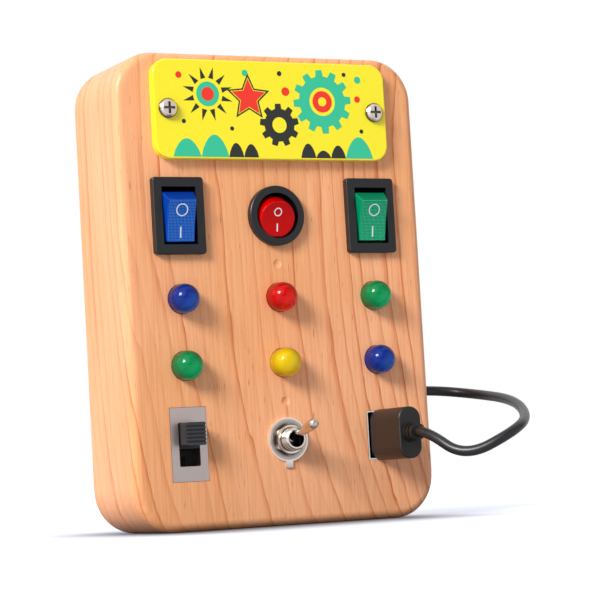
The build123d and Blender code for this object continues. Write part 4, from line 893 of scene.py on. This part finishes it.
board_middle = (0, 0, 0.065)
lamp = soft_lamp("key_softbox", (-2.43, -1.34, 1.68), board_middle, 1.04, 126.0)
print("lamp", round((lamp.location - Vector(board_middle)).length, 2), "m away")


# %% The room
def seen_directly(tree, rays):
    """1 where a ray comes from the camera, also through clear plastic."""
    direct, through = rays["Is Camera Ray"], rays["Is Transmission Ray"]
    return add(tree, "ShaderNodeMath", direct, through, operation="MAXIMUM")


room = bpy.data.worlds.new("white_room")
scene.world = room
room.use_nodes = True
tree = room.node_tree
rays = add(tree, "ShaderNodeLightPath", out=None).outputs
heading = add(tree, "ShaderNodeTexCoord", out="Generated")


def room_part(direction, start, end, low, high):
    """How bright the mirrored room is towards a direction."""
    aim = Vector(direction).normalized()
    towards = add(tree, "ShaderNodeVectorMath", heading, aim, operation="DOT_PRODUCT", out="Value")
    return add(tree, "ShaderNodeMapRange", towards, start, end, low, high, interpolation_type="SMOOTHSTEP")


room_light = 0.55
lamp_side = room_part((-0.62, -0.5, 0.6), 0.78, 0.93, 0.0, 1.6)
backdrop = room_part((-0.35, 0.85, 0.35), -0.5, 0.3, 0.08, 1.0)
right_wall = room_part((0.6, -0.8, 0.1), 0.55, 0.9, 0.0, 0.7)
mirrored = add(tree, "ShaderNodeMath", backdrop, right_wall, operation="MAXIMUM")
mirrored = add(tree, "ShaderNodeMath", mirrored, lamp_side, operation="MAXIMUM")
glossy = add(tree, "ShaderNodeMix", {0: rays["Is Glossy Ray"], 2: room_light, 3: mirrored})
level = add(tree, "ShaderNodeMix", {0: seen_directly(tree, rays), 2: glossy, 3: 1.0})
background = tree.nodes["Background"]
background.inputs["Color"].default_value = (1, 1, 1, 1)
tree.links.new(level, background.inputs["Strength"])

scene.view_settings.view_transform = "Standard"
print("room light", room_light)

# %% [markdown]
# ## The floor
#
# The floor is a matt white board. What the camera sees of it is lifted to white by some light of its own,
# more so with distance. Close around the board that light fades and the paint darkens, so that the board
# stands on its own soft shade, and the lamp's real shadow falls over it.

# %% A white floor
footprint = (0.030, 0.010, 0.0)
stretch = (2.2, 1.0, 1.0)
floor = new_mesh("floor", [(-4, -4, 0), (4, -4, 0), (4, 4, 0), (-4, 4, 0)], [(0, 1, 2, 3)])
floor_finish, tree, shader = new_finish("matt_white_board", Roughness=0.8)
rays = add(tree, "ShaderNodeLightPath", out=None).outputs
seen_in_metal = add(tree, "ShaderNodeMath", rays["Is Glossy Ray"], 0.3, operation="MULTIPLY")
seen = add(tree, "ShaderNodeMath", seen_directly(tree, rays), seen_in_metal, operation="MAXIMUM")
place = add(tree, "ShaderNodeTexCoord", out="Object")
outside = add(tree, "ShaderNodeVectorMath", place, operation="ABSOLUTE")
outside = add(tree, "ShaderNodeVectorMath", outside, footprint, operation="SUBTRACT")
outside = add(tree, "ShaderNodeVectorMath", outside, (0.0, 0.0, 0.0), operation="MAXIMUM")
outside = add(tree, "ShaderNodeVectorMath", outside, stretch, operation="MULTIPLY")
distance = add(tree, "ShaderNodeVectorMath", outside, operation="LENGTH", out="Value")


def fading(start, end, low):
    """Goes smoothly from low up to full light while the distance from the board goes from start to end."""
    return add(tree, "ShaderNodeMapRange", distance, start, end, low, 1.0, interpolation_type="SMOOTHSTEP")


wide = fading(-0.05, 0.28, 0.75)
contact = fading(0.0, 0.065, 0.08)
shaded = add(tree, "ShaderNodeMath", wide, contact, operation="MULTIPLY")
layers = {0: shaded, 6: linear("#000000"), 7: linear("#b7bac6")}
paint = add(tree, "ShaderNodeMix", layers, out=2, data_type="RGBA")
tree.links.new(paint, shader.inputs["Base Color"])
glow = add(tree, "ShaderNodeMath", shaded, fading(0.1, 0.7, 0.74), operation="MULTIPLY")
glow = add(tree, "ShaderNodeMath", glow, seen, operation="MULTIPLY")
white = add(tree, "ShaderNodeEmission", {"Color": linear("#f3f6ff"), "Strength": glow})
both = add(tree, "ShaderNodeAddShader", shader.outputs[0], white)
tree.links.new(both, tree.nodes["Material Output"].inputs["Surface"])
floor.data.materials.append(floor_finish)
print("floor", floor.dimensions[0], "m wide")
